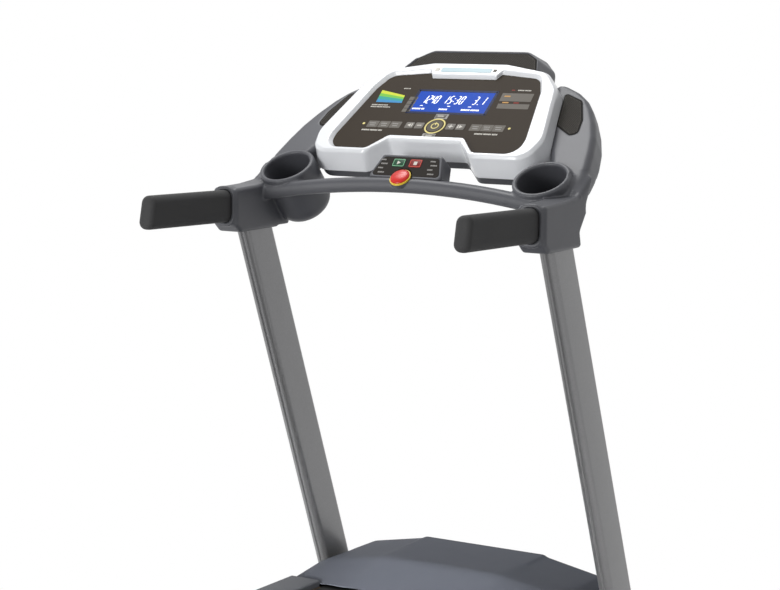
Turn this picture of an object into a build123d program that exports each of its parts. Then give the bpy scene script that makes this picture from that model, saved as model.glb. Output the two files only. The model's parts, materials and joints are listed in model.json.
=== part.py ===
"""Folding treadmill: base with incline lift, folding running deck, raked uprights, hand grips and console.

Millimetres, floor at Z = 0, +X to the user's right, +Y forward to the console, +Z up.
"""
import os
from functools import cache
from math import atan2, cos, hypot, radians, sin

from build123d import *

# Fits between pieces
SEAT_GAP = 0.3
RUNNING_GAP = 0.05
KEY_GAP = 0.4

# Base of welded square tube
BASE_HALF_SPACING = 400.0
BASE_TUBE = 40.0
BASE_WALL = 2.5
BASE_CORNER = 5.0
BASE_REAR_Y = 235.0
BASE_FRONT_Y = 886.0
FRONT_CROSS_Y = 812.0
REAR_CROSS_Y = 256.0
MID_CROSS_Y = 560.0
PAD_HEIGHT = 12.0
PAD_LENGTH = 62.0
PAD_INSET = 6.0
CAP_FLANGE = 4.0
CAP_PLUG = 14.0
STUB_LENGTH = 176.0
STUB_WALL = 3.0

# Transport wheels ahead of the front cross tube
WHEEL_RADIUS = 24.0
WHEEL_WIDTH = 24.0
WHEEL_INSET = 70.0
WHEEL_Y = 864.0
WHEEL_Z = 29.0
WHEEL_AXLE_RADIUS = 5.0
WHEEL_DISH_RADIUS = 17.0
WHEEL_EAR = 4.0
WHEEL_SIDE_GAP = 0.6

# Raked uprights
RAKE = 20.73
UPRIGHT_FOOT_Y = 828.0
UPRIGHT_WIDTH = 36.0
UPRIGHT_DEPTH = 104.0
UPRIGHT_CORNER = 12.0
UPRIGHT_WALL = 2.5
UPRIGHT_LENGTH = 1180.0
BOLT_RADIUS = 5.0
BOLT_HEAD_RADIUS = 8.5
BOLT_HEAD = 5.0
BOLT_REACH = 12.0
BOLT_STATIONS = (95.0, 145.0)

# Incline lift: a torque tube with two arms that carry the fold shaft
LIFT_PIVOT_Y = 300.0
LIFT_PIVOT_Z = 80.0
FOLD_PIVOT_Y = 780.0
FOLD_PIVOT_Z = 150.0
ARM_INSET = 38.0
ARM_THICK = 16.0
ARM_END_RADIUS = 22.0
LIFT_PIN_RADIUS = 10.0
LIFT_PIN_SHORT = 2.0
BRACKET_THICK = 6.0
TORQUE_TUBE_RADIUS = 14.0
TORQUE_TUBE_WALL = 3.0
FOLD_SHAFT_RADIUS = 12.5
FOLD_SHAFT_HEAD_RADIUS = 18.0
FOLD_SHAFT_HEAD = 5.0

# Incline motor on the middle cross tube, with a screw that pulls the lift's lever
LEVER_LENGTH = 46.0
LEVER_PLATE = 6.0
LEVER_HALF_GAP = 11.0
LEVER_PIN_RADIUS = 6.0
LEVER_END_RADIUS = 11.0
LEVER_SLOT = 1.4
EYE_RADIUS = 13.0
EYE_SIDE_GAP = 0.6
GEARBOX_RADIUS = 18.0
GEARBOX_LENGTH = 46.0
SCREW_TUBE_RADIUS = 13.0
SCREW_TUBE_LENGTH = 90.0
SCREW_RADIUS = 8.0
SCREW_OVERLAP = 60.0
CAN_RADIUS = 17.0
CAN_OFFSET = 40.0
CAN_LENGTH = 88.0

# Fold lock on the right lift arm
LOCK_Y = 694.0
LOCK_RADIUS = 6.0
LOCK_KNOB_RADIUS = 10.0
LOCK_KNOB = 18.0
LOCK_STEM = 6.0
FOLD_ANGLE = 62.0
QUADRANT_THICK = 6.0
QUADRANT_MARGIN = 11.0

# Running deck
DECK_TOP = 175.5
BOARD_THICK = 18.0
BOARD_INSET = 70.0
BOARD_END_GAP = 45.0
BELT_RAIL_GAP = 8.0
BELT_THICK = 1.8
ROLLER_RADIUS = 30.0
ROLLER_BORE = 22.0
FRONT_ROLLER_Y = 545.0
REAR_ROLLER_INSET = 21.0
ROLLER_AXLE_RADIUS = 8.5
AXLE_CRADLE = 40.0
DECK_TUBE_INSET = 74.0
DECK_TUBE_WIDTH = 36.0
DECK_TUBE_HEIGHT = 50.0
DECK_TUBE_BOTTOM = 97.0
DECK_TUBE_WALL = 2.5
DECK_REAR_Y = -866.0
CROSS_STATIONS = (-600.0, -50.0, 400.0)
CROSS_DEPTH = 40.0
CROSS_HEIGHT = 26.0
CROSS_BELT_GAP = 5.0
CUSHION_STATIONS = (-700.0, -150.0, 450.0)
CUSHION_RADIUS = 13.0
FOOT_INSET = 61.0
FOOT_RADIUS = 20.0
FOOT_PAD = 14.0
FOOT_STEM_RADIUS = 11.0

# Side rails, rear end caps and motor hood
RAIL_INSET = 50.0
RAIL_WIDTH = 88.0
RAIL_TOP = 192.0
RAIL_SHOULDER = 10.0
RAIL_WALL = 3.0
RAIL_SKIRT_Z = 100.0
CAP_LENGTH = 24.0
CAP_CORNER = 14.0
HOOD_REAR_Y = 497.0
HOOD_WALL = 3.0
HOOD_SLOPE_Y = 628.0
HOOD_CREST_Y = 838.0
HOOD_NOSE_Y = 872.0
HOOD_REAR_Z = 186.0
HOOD_SLOPE_Z = 236.0
HOOD_CREST_Z = 240.0
HOOD_NOSE_Z = 172.0
HOOD_REAR_DROP = 4.0
HOOD_SLOPE_DROP = 25.6
HOOD_SHOULDER_DROP = 32.0
HOOD_NOSE_DROP = 8.0
HOOD_SIDE_DROP = 1.6
HOOD_PLATEAU_INSET = 182.0
HOOD_SHOULDER_INSET = 32.0
HOOD_STEP = 5.0
HOOD_STEP_RUN = 6.0
HOOD_CORNER = 10.0
HOOD_EDGE = 4.0
HOOD_STEP_CORNER = 1.5
HOOD_ARCH_GAP = 8.0
HOOD_LEDGE_Y = 590.0
HOOD_LEDGE_LENGTH = 80.0
NOSE_LIP_Z = 150.0
PAN_THICK = 3.0
PAN_REAR_Y = 562.0
PAN_NOSE_Y = 838.0

# Drive motor and its belt
DRIVE_Y = 685.0
DRIVE_Z = 165.0
DRIVE_RADIUS = 52.0
DRIVE_INSET = 228.0
DRIVE_LENGTH = 196.0
DRIVE_SHAFT_RADIUS = 7.0
DRIVE_PULLEY_RADIUS = 18.0
ROLLER_PULLEY_RADIUS = 38.0
PULLEY_INSET = 40.0
PULLEY_WIDTH = 20.0
DRIVE_BELT_THICK = 3.0
FLYWHEEL_RADIUS = 49.0
FLYWHEEL_WIDTH = 14.0
MOTOR_PLATE_THICK = 5.0
MOTOR_PLATE_Z = 104.0
MOTOR_PLATE_REAR_Y = 616.0
MOTOR_PLATE_FRONT_Y = 752.0
MOTOR_FOOT_WIDTH = 60.0
HEATSINK_FINS = 7
HEATSINK_WIDTH = 150.0
HEATSINK_DEPTH = 110.0
HEATSINK_HEIGHT = 44.0
HEATSINK_BASE = 5.0
HEATSINK_X = -150.0

# Hand grips
GRIP_WIDTH = 40.0
GRIP_HEIGHT = 75.0
GRIP_CORNER = 17.0
GRIP_END_Y = 27.0
GRIP_SLANT = 11.0
GRIP_START_Y = 325.0
GRIP_START_Z = 1101.0
GRIP_RISE = 1.75
GRIP_END_ROUND = 13.0
BAR_WIDTH = 24.0
BAR_HEIGHT = 56.0
BAR_CORNER = 10.0
BAR_WALL = 2.5
BAR_END_GAP = 20.0

# Side housings: boot round the upright, cup holder and wing up to the console
BOOT_INNER = 34.0
BOOT_OUTER = 35.0
FAIRING_WIDTH = 39.0
BOOT_BEVEL = 6.0
BOOT_Y = 434.4
BOOT_Z = 1040.0
CUP_INSET = 62.0
CUP_Y = 477.4
CUP_Z = 1187.6
CUP_TILT = 30.0
BOWL_TILT = 40.0
CUP_RADIUS = 54.8
CUP_WALL = 12.0
CUP_DEPTH = 133.0
CUP_FLOOR = 10.0
CUP_ROUND = 36.0
CUP_RIM = 5.5
COLLAR_WALL = 9.0
COLLAR_LENGTH = 12.0
WING_TOP = -28.0
WING_CORNER = 15.0
WING_WALL = 4.0

# Arched crossbar
CROSSBAR_MID_Y = 461.0
CROSSBAR_END_Y = 440.0
CROSSBAR_MID_Z = 1157.0
CROSSBAR_END_Z = 1125.0
CROSSBAR_INSET = 26.0
CROSSBAR_DEPTH = 40.0
CROSSBAR_HEIGHT = 34.0
CROSSBAR_CORNER = 14.0

# Control pod on the crossbar
POD_TILT = 49.9
POD_Y = 454.8
POD_Z = 1174.7
POD_LOW_HALF = 95.0
POD_HIGH_HALF = 77.0
POD_FACE = 62.0
POD_CORNER = 7.0
POD_RIM = 5.0
POD_BACK_DEPTH = 46.0
POD_FLARE = 3.0
PANEL_THICK = 2.5
POD_KEY_WIDTH = 32.0
POD_KEY_HEIGHT = 22.0
POD_KEY_V = 40.5
START_U = -28.0
STOP_U = 16.0
KEY_STROKE = 0.8
KEY_PROUD = 1.0
SAFETY_U = -6.0
SAFETY_V = 1.0
SAFETY_RADIUS = 23.0
SAFETY_TILT = 38.0
SAFETY_HEIGHT = 10.0
SAFETY_ROUND = 7.0
SAFETY_DROP = 4.0
COLLAR_RADIUS = 25.5
COLLAR_BASE = -9.0
COLLAR_TOP = 4.5
SAFETY_STEM_RADIUS = 8.0
SAFETY_STEM = 6.0

# Console: everything lies on one plane tilted back
CONSOLE_TILT = 38.0
CONSOLE_Y = 561.0
CONSOLE_Z = 1260.0
BEZEL_RIM = 9.0
BEZEL_SHOULDER = 2.0
BEZEL_SKIRT = -50.0
BEZEL_DRAFT = 9.0
BEZEL_ROUND = 6.0
BEZEL_WALL = 3.0
BEZEL_PLATE = 4.0
OVERLAY_THICK = 2.5
OVERLAY_LEAD = 7.0
SHELL_LIP = 7.0
SHELL_TUCK = 5.0
SHELL_STRIP = -72.0
SHELL_BACK = -104.0
SHELL_BACK_INSET = 62.0
SHELL_WALL = 3.0
HUMP_TOP = 5.0
HUMP_SKIRT = -50.0
HUMP_BOTTOM = -66.0
HUMP_FLARE = 26.0
HUMP_ROUND = 6.0
GRILLE_THICK = 3.0
GRILLE_SINK = 6.0
SIDE_GRILLE_THICK = 2.5

# Display and keys on the console, as places along the plane
LCD_U = 6.0
LCD_V = 124.0
LCD_WIDTH = 204.0
LCD_HEIGHT = 74.0
LCD_GLASS = 1.5
LCD_FRAME = 8.0
BOARD_WIDTH = 330.0
BOARD_HEIGHT = 120.0
BOARD_PCB = 1.6
BOARD_STANDOFF = 5.0
STANDOFF_RADIUS = 4.0
KEY_ROW_V = 39.0
KEY_WIDTH = 23.0
KEY_HEIGHT = 20.0
KEY_CORNER = 3.0
NAV_NEAR_U = 42.0
NAV_FAR_U = 68.0
ROUND_KEY_RADIUS = 20.0
SMALL_KEY_WIDTH = 26.0
SMALL_KEY_HEIGHT = 10.0
SMALL_KEY_OFFSET = 34.0
SPEAKER_RADIUS = 26.0
SPEAKER_DEPTH = 22.0
SPEAKER_INSET = 88.0
SPEAKER_V = 120.0

# Values that follow from the sizes above
BASE_TOP = PAD_HEIGHT + BASE_TUBE
BASE_MID_Z = PAD_HEIGHT + BASE_TUBE / 2
BASE_INNER_X = BASE_HALF_SPACING - BASE_TUBE / 2
WHEEL_HALF_SPACING = BASE_HALF_SPACING - WHEEL_INSET
ARM_X = BASE_HALF_SPACING - ARM_INSET
BOARD_HALF_WIDTH = BASE_HALF_SPACING - BOARD_INSET
DECK_TUBE_X = BASE_HALF_SPACING - DECK_TUBE_INSET
RAIL_OUTER_X = BASE_HALF_SPACING - RAIL_INSET
RAIL_INNER_X = RAIL_OUTER_X - RAIL_WIDTH
HOOD_PLATEAU = RAIL_OUTER_X - HOOD_PLATEAU_INSET
HOOD_SHOULDER_X = RAIL_OUTER_X - HOOD_SHOULDER_INSET
BOOT_INNER_X = BASE_HALF_SPACING - BOOT_INNER
BOOT_OUTER_X = BASE_HALF_SPACING + BOOT_OUTER
CUP_X = BASE_HALF_SPACING - CUP_INSET
CROSSBAR_HALF_SPAN = BASE_HALF_SPACING - CROSSBAR_INSET
REAR_ROLLER_Y = DECK_REAR_Y + REAR_ROLLER_INSET
FOOT_Y = DECK_REAR_Y + FOOT_INSET
REAR_Y = DECK_REAR_Y - CAP_LENGTH
ROLLER_Z = DECK_TOP - SEAT_GAP - ROLLER_RADIUS
BOARD_BOTTOM = DECK_TOP - BOARD_THICK
DECK_TUBE_TOP = DECK_TUBE_BOTTOM + DECK_TUBE_HEIGHT
DECK_TUBE_INNER = DECK_TUBE_X - DECK_TUBE_WIDTH / 2
DECK_TUBE_OUTER = DECK_TUBE_X + DECK_TUBE_WIDTH / 2
ARM_INNER = ARM_X - ARM_THICK / 2
ARM_OUTER = ARM_X + ARM_THICK / 2
BELT_UNDERSIDE = ROLLER_Z - ROLLER_RADIUS - SEAT_GAP - BELT_THICK
LEVER_Z = LIFT_PIVOT_Z - LEVER_LENGTH
ARM_SLOPE = (FOLD_PIVOT_Z - LIFT_PIVOT_Z) / (FOLD_PIVOT_Y - LIFT_PIVOT_Y)
LOCK_Z = LIFT_PIVOT_Z + ARM_SLOPE * (LOCK_Y - LIFT_PIVOT_Y)
LOCK_REACH = hypot(LOCK_Y - FOLD_PIVOT_Y, LOCK_Z - FOLD_PIVOT_Z)
HOOD_ARCH_RADIUS = LOCK_REACH + QUADRANT_MARGIN + HOOD_ARCH_GAP
BELT_WIDTH = 2 * (RAIL_INNER_X - BELT_RAIL_GAP)
PULLEY_START_X = DECK_TUBE_INNER - PULLEY_INSET
DRIVE_START_X = PULLEY_START_X - DRIVE_INSET
SPEAKER_U = BASE_HALF_SPACING - SPEAKER_INSET
MOTOR_PLATE_TOP = MOTOR_PLATE_Z + MOTOR_PLATE_THICK


def along_x(y, z, x=0.0):
    """Plane across the width: local axes are Y and Z of the part."""
    return Plane(origin=(x, y, z), x_dir=(0, 1, 0), z_dir=(1, 0, 0))


def along_y(x, y, z):
    """Plane across the length: local X is X of the part."""
    return Plane(origin=(x, y, z), x_dir=(1, 0, 0), z_dir=(0, 1, 0))


def raked(x):
    """Plane square to an upright, at the floor."""
    normal = (0, -sin(radians(RAKE)), cos(radians(RAKE)))
    return Plane(origin=(x, UPRIGHT_FOOT_Y, 0), x_dir=(1, 0, 0), z_dir=normal)


def tilted(y, z, angle, offset=0.0, x=0.0):
    """Plane that leans back by an angle, lifted along its own normal."""
    normal = Vector(0, -sin(radians(angle)), cos(radians(angle)))
    return Plane(origin=Vector(x, y, z) + normal * offset, x_dir=(1, 0, 0), z_dir=normal)


def console(offset=0.0):
    """Console plane lifted along its normal."""
    return tilted(CONSOLE_Y, CONSOLE_Z, CONSOLE_TILT, offset)


def pod(offset=0.0):
    """Plane of the control pod's face, from its low edge."""
    return tilted(POD_Y, POD_Z, POD_TILT, offset)


def rod(plane, radius, length):
    """Round bar from a plane along its normal."""
    return plane * extrude(Circle(radius), length)


def cross_rod(y, z, radius, start, end):
    """Round bar across the width."""
    return rod(along_x(y, z, start), radius, end - start)


def box_between(low, high):
    """Block between two corners."""
    size = [high[i] - low[i] for i in range(3)]
    middle = [(high[i] + low[i]) / 2 for i in range(3)]
    return Pos(*middle) * Box(*size)


def tube(plane, width, height, wall, corner, length):
    """Hollow rectangular tube from a plane along its normal."""
    outside = RectangleRounded(width, height, corner)
    inside = RectangleRounded(width - 2 * wall, height - 2 * wall, max(corner - wall, SEAT_GAP))
    return plane * extrude(outside - inside, length)


def outline(corners):
    """Face inside a polygon whose corners are (u, v, radius)."""
    face = make_face(Polyline(*[(u, v) for u, v, _ in corners], close=True))
    for u, v, radius in corners:
        if radius:
            face = fillet(face.vertices().sort_by_distance((u, v, 0))[0], radius)
    return face


def both_halves(corners):
    """Right half of an outline, from the bottom to the top, with its mirror image."""
    return corners + [(-u, v, r) for u, v, r in reversed(corners)]


def grown(corners, amount):
    """Outline moved outwards by an amount on each side of its box."""
    us = [c[0] for c in corners]
    vs = [c[1] for c in corners]
    mid_u, mid_v = (max(us) + min(us)) / 2, (max(vs) + min(vs)) / 2
    scale_u = 1 + 2 * amount / (max(us) - min(us))
    scale_v = 1 + 2 * amount / (max(vs) - min(vs))
    scale_r = min(scale_u, scale_v)
    moved = []
    for u, v, radius in corners:
        moved.append((mid_u + (u - mid_u) * scale_u, mid_v + (v - mid_v) * scale_v, radius * scale_r))
    return moved


def mirrored(shape):
    """Left-hand copy of a right-hand piece."""
    return mirror(shape, about=Plane.YZ)


def pair(shape):
    """A right-hand piece and its left-hand copy as two solids."""
    return Compound(children=[shape, mirrored(shape)])


# Base


def base_frame():
    """Welded base: side tubes, cross tubes, stubs for the uprights, pivot brackets and ears."""
    run = BASE_FRONT_Y - BASE_REAR_Y
    side = tube(
        along_y(BASE_HALF_SPACING, BASE_REAR_Y, BASE_MID_Z), BASE_TUBE, BASE_TUBE, BASE_WALL, BASE_CORNER, run
    )
    play = 2 * (UPRIGHT_WALL + SEAT_GAP)
    stub_size = (UPRIGHT_WIDTH - play, UPRIGHT_DEPTH - play)
    stub = tube(raked(BASE_HALF_SPACING), *stub_size, STUB_WALL, UPRIGHT_CORNER - UPRIGHT_WALL, STUB_LENGTH)
    under = Pos(BASE_HALF_SPACING, UPRIGHT_FOOT_Y, BASE_TOP - UPRIGHT_DEPTH) * Box(
        2 * BASE_TUBE, 3 * UPRIGHT_DEPTH, 2 * UPRIGHT_DEPTH
    )
    side = side + (stub - under) + lift_bracket()
    side = side - upright_bolts_right()
    frame = side + mirrored(side)
    for y in (FRONT_CROSS_Y, MID_CROSS_Y, REAR_CROSS_Y):
        start = along_x(y, BASE_MID_Z, -BASE_INNER_X)
        frame += tube(start, BASE_TUBE, BASE_TUBE, BASE_WALL, BASE_CORNER, 2 * BASE_INNER_X)
    wheel_ears = wheel_ear_pair(WHEEL_HALF_SPACING)
    return frame + wheel_ears + mirrored(wheel_ears)


def lift_bracket():
    """Plate that holds the lift pin on the inner face of a side tube."""
    inner = BASE_INNER_X - BRACKET_THICK
    post = box_between(
        (inner, LIFT_PIVOT_Y - ARM_END_RADIUS, PAD_HEIGHT + BASE_CORNER),
        (BASE_INNER_X, LIFT_PIVOT_Y + ARM_END_RADIUS, LIFT_PIVOT_Z),
    )
    crown = cross_rod(LIFT_PIVOT_Y, LIFT_PIVOT_Z, ARM_END_RADIUS, inner, BASE_INNER_X)
    pin_hole = cross_rod(LIFT_PIVOT_Y, LIFT_PIVOT_Z, LIFT_PIN_RADIUS, inner, BASE_INNER_X)
    return post + crown - pin_hole


def wheel_ear_pair(x):
    """Two plates on the front cross tube that hold a wheel's axle."""
    front = FRONT_CROSS_Y + BASE_TUBE / 2
    ears = []
    for side in (-1, 1):
        near = x + side * (WHEEL_WIDTH / 2 + WHEEL_SIDE_GAP)
        low, high = sorted((near, near + side * WHEEL_EAR))
        boss = 2 * WHEEL_AXLE_RADIUS
        ear = box_between((low, front, WHEEL_Z - boss), (high, WHEEL_Y, WHEEL_Z + boss))
        ear += cross_rod(WHEEL_Y, WHEEL_Z, boss, low, high)
        ears.append(ear - cross_rod(WHEEL_Y, WHEEL_Z, WHEEL_AXLE_RADIUS, low, high))
    return ears[0] + ears[1]


def base_end_caps():
    """Plugs that close the four ends of the side tubes."""
    caps = []
    for x in (-BASE_HALF_SPACING, BASE_HALF_SPACING):
        for y, way in ((BASE_REAR_Y, 1), (BASE_FRONT_Y, -1)):
            flange_y = y - CAP_FLANGE if way > 0 else y
            plug_y = y if way > 0 else y - CAP_PLUG
            flange = along_y(x, flange_y, BASE_MID_Z) * extrude(
                RectangleRounded(BASE_TUBE, BASE_TUBE, BASE_CORNER), CAP_FLANGE
            )
            hollow = BASE_TUBE - 2 * BASE_WALL - 2 * SEAT_GAP
            inside = RectangleRounded(hollow, hollow, BASE_CORNER / 2)
            caps.append(flange + along_y(x, plug_y, BASE_MID_Z) * extrude(inside, CAP_PLUG))
    return Compound(children=caps)


def floor_pads():
    """Rubber pads under the ends of the side tubes."""
    pads = []
    for x in (-BASE_HALF_SPACING, BASE_HALF_SPACING):
        for y in (BASE_REAR_Y + PAD_INSET + PAD_LENGTH / 2, BASE_FRONT_Y - PAD_INSET - PAD_LENGTH / 2):
            foot = RectangleRounded(BASE_TUBE - 2 * PAD_INSET, PAD_LENGTH - 2 * PAD_INSET, BASE_CORNER)
            head = RectangleRounded(BASE_TUBE - BASE_CORNER, PAD_LENGTH, BASE_CORNER)
            pads.append(loft([Pos(x, y, 0) * foot, Pos(x, y, PAD_HEIGHT) * head], ruled=True))
    return Compound(children=pads)


def pivot_pins():
    """Stub pins of the lift and the two wheel axles."""
    lift = cross_rod(LIFT_PIVOT_Y, LIFT_PIVOT_Z, LIFT_PIN_RADIUS, ARM_INNER + LIFT_PIN_SHORT, BASE_INNER_X)
    reach = WHEEL_WIDTH / 2 + WHEEL_SIDE_GAP + WHEEL_EAR
    near, far = WHEEL_HALF_SPACING - reach, WHEEL_HALF_SPACING + reach
    axle = cross_rod(WHEEL_Y, WHEEL_Z, WHEEL_AXLE_RADIUS, near, far)
    return Compound(children=[lift, mirrored(lift), axle, mirrored(axle)])


def transport_wheel(x):
    """Moulded wheel with a crowned tread and a dished web."""
    half = WHEEL_WIDTH / 2
    body = cross_rod(WHEEL_Y, WHEEL_Z, WHEEL_RADIUS, x - half, x + half)
    body = chamfer(body.edges().filter_by(GeomType.CIRCLE), half / 4)
    for side in (-1, 1):
        low, high = sorted((x + side * half / 2, x + side * half))
        dish = cross_rod(WHEEL_Y, WHEEL_Z, WHEEL_DISH_RADIUS, low, high)
        body -= dish - cross_rod(WHEEL_Y, WHEEL_Z, 2 * WHEEL_AXLE_RADIUS, low, high)
    return body - cross_rod(WHEEL_Y, WHEEL_Z, WHEEL_AXLE_RADIUS + RUNNING_GAP, x - half, x + half)


# Uprights and grips


@cache
def upright_block(grow=0.0):
    """Right upright as a solid bar, for pockets that fit round it."""
    section = RectangleRounded(UPRIGHT_WIDTH + 2 * grow, UPRIGHT_DEPTH + 2 * grow, UPRIGHT_CORNER + grow)
    return raked(BASE_HALF_SPACING) * extrude(section, UPRIGHT_LENGTH + grow)


@cache
def upright():
    """Right upright: oval-cornered steel tube cut level on the base."""
    column = tube(
        raked(BASE_HALF_SPACING), UPRIGHT_WIDTH, UPRIGHT_DEPTH, UPRIGHT_WALL, UPRIGHT_CORNER, UPRIGHT_LENGTH
    )
    under = Pos(BASE_HALF_SPACING, UPRIGHT_FOOT_Y, BASE_TOP - UPRIGHT_DEPTH) * Box(
        2 * BASE_TUBE, 3 * UPRIGHT_DEPTH, 2 * UPRIGHT_DEPTH
    )
    return column - under - upright_bolts_right()


@cache
def upright_bolts_right():
    """Bolts through the right upright into its stub."""
    face = BASE_HALF_SPACING + UPRIGHT_WIDTH / 2
    bolts = Part()
    for station in BOLT_STATIONS:
        y = UPRIGHT_FOOT_Y - station * sin(radians(RAKE))
        z = station * cos(radians(RAKE))
        bolts += cross_rod(y, z, BOLT_RADIUS, face - BOLT_REACH, face)
        head = cross_rod(y, z, BOLT_HEAD_RADIUS, face, face + BOLT_HEAD)
        bolts += chamfer(head.faces().sort_by(Axis.X)[-1].edges(), BOLT_HEAD / 3)
    return bolts


def upright_bolts():
    """All upright bolts as separate solids."""
    right = upright_bolts_right()
    return Compound(children=list(right.solids()) + list(mirrored(right).solids()))


def grip_plane(x, back=0.0):
    """Plane square to a hand grip; its normal runs to the user, back sets it towards the upright."""
    way = Vector(0, -cos(radians(GRIP_RISE)), sin(radians(GRIP_RISE)))
    start = Vector(x, GRIP_START_Y, GRIP_START_Z) - way * back
    return Plane(origin=start, x_dir=(1, 0, 0), z_dir=way)


def grip_length():
    """Length of the soft grip."""
    return (GRIP_START_Y - GRIP_END_Y) / cos(radians(GRIP_RISE))


def grip_bar():
    """Right handlebar tube, butted on the upright."""
    back = BOOT_Y - GRIP_START_Y
    length = back + grip_length() - BAR_END_GAP
    bar = tube(grip_plane(BASE_HALF_SPACING, back), BAR_WIDTH, BAR_HEIGHT, BAR_WALL, BAR_CORNER, length)
    return bar - upright_block(SEAT_GAP)


@cache
def grip():
    """Right soft grip: rounded sleeve with a closed, slanted and rounded end."""
    sleeve = grip_plane(BASE_HALF_SPACING) * extrude(
        RectangleRounded(GRIP_WIDTH, GRIP_HEIGHT, GRIP_CORNER), grip_length() + GRIP_HEIGHT
    )
    end = grip_plane(BASE_HALF_SPACING, -grip_length()).rotated((-GRIP_SLANT, 0, 0))
    sleeve = split(sleeve, end, Keep.BOTTOM)
    sleeve = fillet(sleeve.faces().sort_by(Axis.Y)[0].edges(), GRIP_END_ROUND)
    core = RectangleRounded(BAR_WIDTH + 2 * SEAT_GAP, BAR_HEIGHT + 2 * SEAT_GAP, BAR_CORNER)
    return sleeve - grip_plane(BASE_HALF_SPACING) * extrude(core, grip_length() - BAR_END_GAP)


# Side housings

# Side profile of the boot from its lower user-side corner, as (forward, up, corner) from the boot's foot
BOOT_PROFILE = [
    (-117.0, 18.0, 10.0),
    (-97.0, 0.0, 12.0),
    (57.0, 0.0, 6.0),
    (49.0, 34.0, 5.0),
    (80.0, 74.0, 8.0),
    (80.0, 92.0, 5.0),
    (122.0, 164.0, 6.0),
    (85.0, 142.0, 10.0),
    (40.0, 112.0, 20.0),
    (-20.0, 106.0, 20.0),
    (-117.0, 103.0, 10.0),
]

# Side profile of the fairing inside the boot, which runs forward under the cup's belly
FAIRING_PROFILE = [
    (-20.0, 4.0, 4.0),
    (97.0, 4.0, 4.0),
    (85.0, 46.0, 8.0),
    (72.0, 100.0, 4.0),
    (-20.0, 96.0, 4.0),
]

# Wing sections up the console plane, as (place, inner and outer side from the upright's middle, depth)
WING_SECTIONS = [
    (-135.0, -50.0, 25.0, 42.0),
    (-75.0, -60.0, 24.0, 58.0),
    (-34.0, -80.0, 17.0, 66.0),
    (10.0, -100.0, 8.0, 70.0),
    (58.0, -114.0, -5.0, 70.0),
    (106.0, -130.0, -25.0, 68.0),
    (150.0, -144.0, -49.0, 62.0),
    (180.0, -156.0, -72.0, 55.0),
    (204.0, -165.0, -100.0, 47.0),
    (224.0, -174.0, -138.0, 40.0),
]


@cache
def boot():
    """Boot round the top of the right upright, bevelled along both sides, with the fairing inside it."""
    body = boot_slab(BOOT_PROFILE, BOOT_OUTER_X - BOOT_INNER_X)
    ends = body.faces().sort_by(Axis.X)
    body = chamfer(ends[0].edges() + ends[-1].edges(), BOOT_BEVEL)
    fairing = boot_slab(FAIRING_PROFILE, FAIRING_WIDTH)
    return body + chamfer(fairing.faces().sort_by(Axis.X)[0].edges(), BOOT_BEVEL / 2)


def boot_slab(profile, width):
    """Side profile from the boot's foot, extruded outwards from the boot's inner face."""
    corners = [(BOOT_Y + y, BOOT_Z + z, r) for y, z, r in profile]
    return along_x(0, 0, BOOT_INNER_X) * extrude(outline(corners), width)


@cache
def wing(inset=0.0):
    """Wing that runs from the boot up beside the console; an inset gives the room inside it."""
    sections = []
    first, last = WING_SECTIONS[0][0] + 8 * inset, WING_SECTIONS[-1][0] - inset
    up = Vector(0, cos(radians(CONSOLE_TILT)), sin(radians(CONSOLE_TILT)))
    for place, inner, outer, depth in WING_SECTIONS:
        top = console(WING_TOP)
        middle = top.origin + up * min(max(place, first), last) - top.z_dir * (depth / 2)
        middle += Vector(BASE_HALF_SPACING + (inner + outer) / 2, 0, 0)
        plane = Plane(origin=middle, x_dir=(1, 0, 0), z_dir=up)
        size = (outer - inner - 2 * inset, depth - 2 * inset)
        sections.append(plane * RectangleRounded(*size, WING_CORNER - inset))
    return loft(sections, ruled=True)


def cup_plane(offset=0.0):
    """Plane of the right cup holder's rim, lifted along the cup's axis."""
    return tilted(CUP_Y, CUP_Z, CUP_TILT, offset, CUP_X)


def bowl_plane(offset=0.0):
    """Plane square to the right cup's bowl, which leans further back than its rim."""
    return tilted(CUP_Y, CUP_Z, BOWL_TILT, offset, CUP_X)


def below_rim(body, lift=0.0):
    """The part of a cup form that lies under the rim."""
    return split(body, cup_plane(lift), Keep.BOTTOM)


@cache
def cup_outside(grow=0.0):
    """Outer form of the right cup holder with its rounded belly."""
    depth = CUP_DEPTH + CUP_FLOOR + grow
    body = rod(bowl_plane(-depth), CUP_RADIUS + CUP_WALL + grow, depth + CUP_DEPTH)
    body = fillet(body.edges().filter_by(GeomType.CIRCLE).sort_by(Axis.Z)[0], CUP_ROUND + grow)
    return below_rim(body, grow)


@cache
def cup_holder():
    """Right cup holder: a bowl with a rolled rim."""
    inside = rod(bowl_plane(-CUP_DEPTH), CUP_RADIUS, 2 * CUP_DEPTH)
    bottom = inside.edges().filter_by(GeomType.CIRCLE).sort_by(Axis.Z)[0]
    bowl = cup_outside() - fillet(bottom, CUP_ROUND - CUP_WALL)
    rim = bowl.faces().filter_by(cup_plane())[0]
    return fillet(rim.edges(), CUP_RIM)


def housing_outside():
    """Outer form of the right housing without its pockets."""
    size = (GRIP_WIDTH + 2 * COLLAR_WALL, GRIP_HEIGHT + 2 * COLLAR_WALL)
    ring = RectangleRounded(*size, GRIP_CORNER + COLLAR_WALL / 2)
    collar = grip_plane(BASE_HALF_SPACING, COLLAR_LENGTH) * extrude(ring, 2 * COLLAR_LENGTH)
    return boot() + wing() + collar


@cache
def housing():
    """Right housing: boot, collar for the grip and hollow wing, open where pieces enter."""
    body = housing_outside() - wing(WING_WALL)
    body -= upright_block(SEAT_GAP)
    body -= grip_bar_pocket()
    body -= grip_pocket()
    body -= cup_outside(SEAT_GAP)
    body -= side_grille_block(SEAT_GAP, SIDE_GRILLE_THICK)
    return keep_largest(body)


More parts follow.
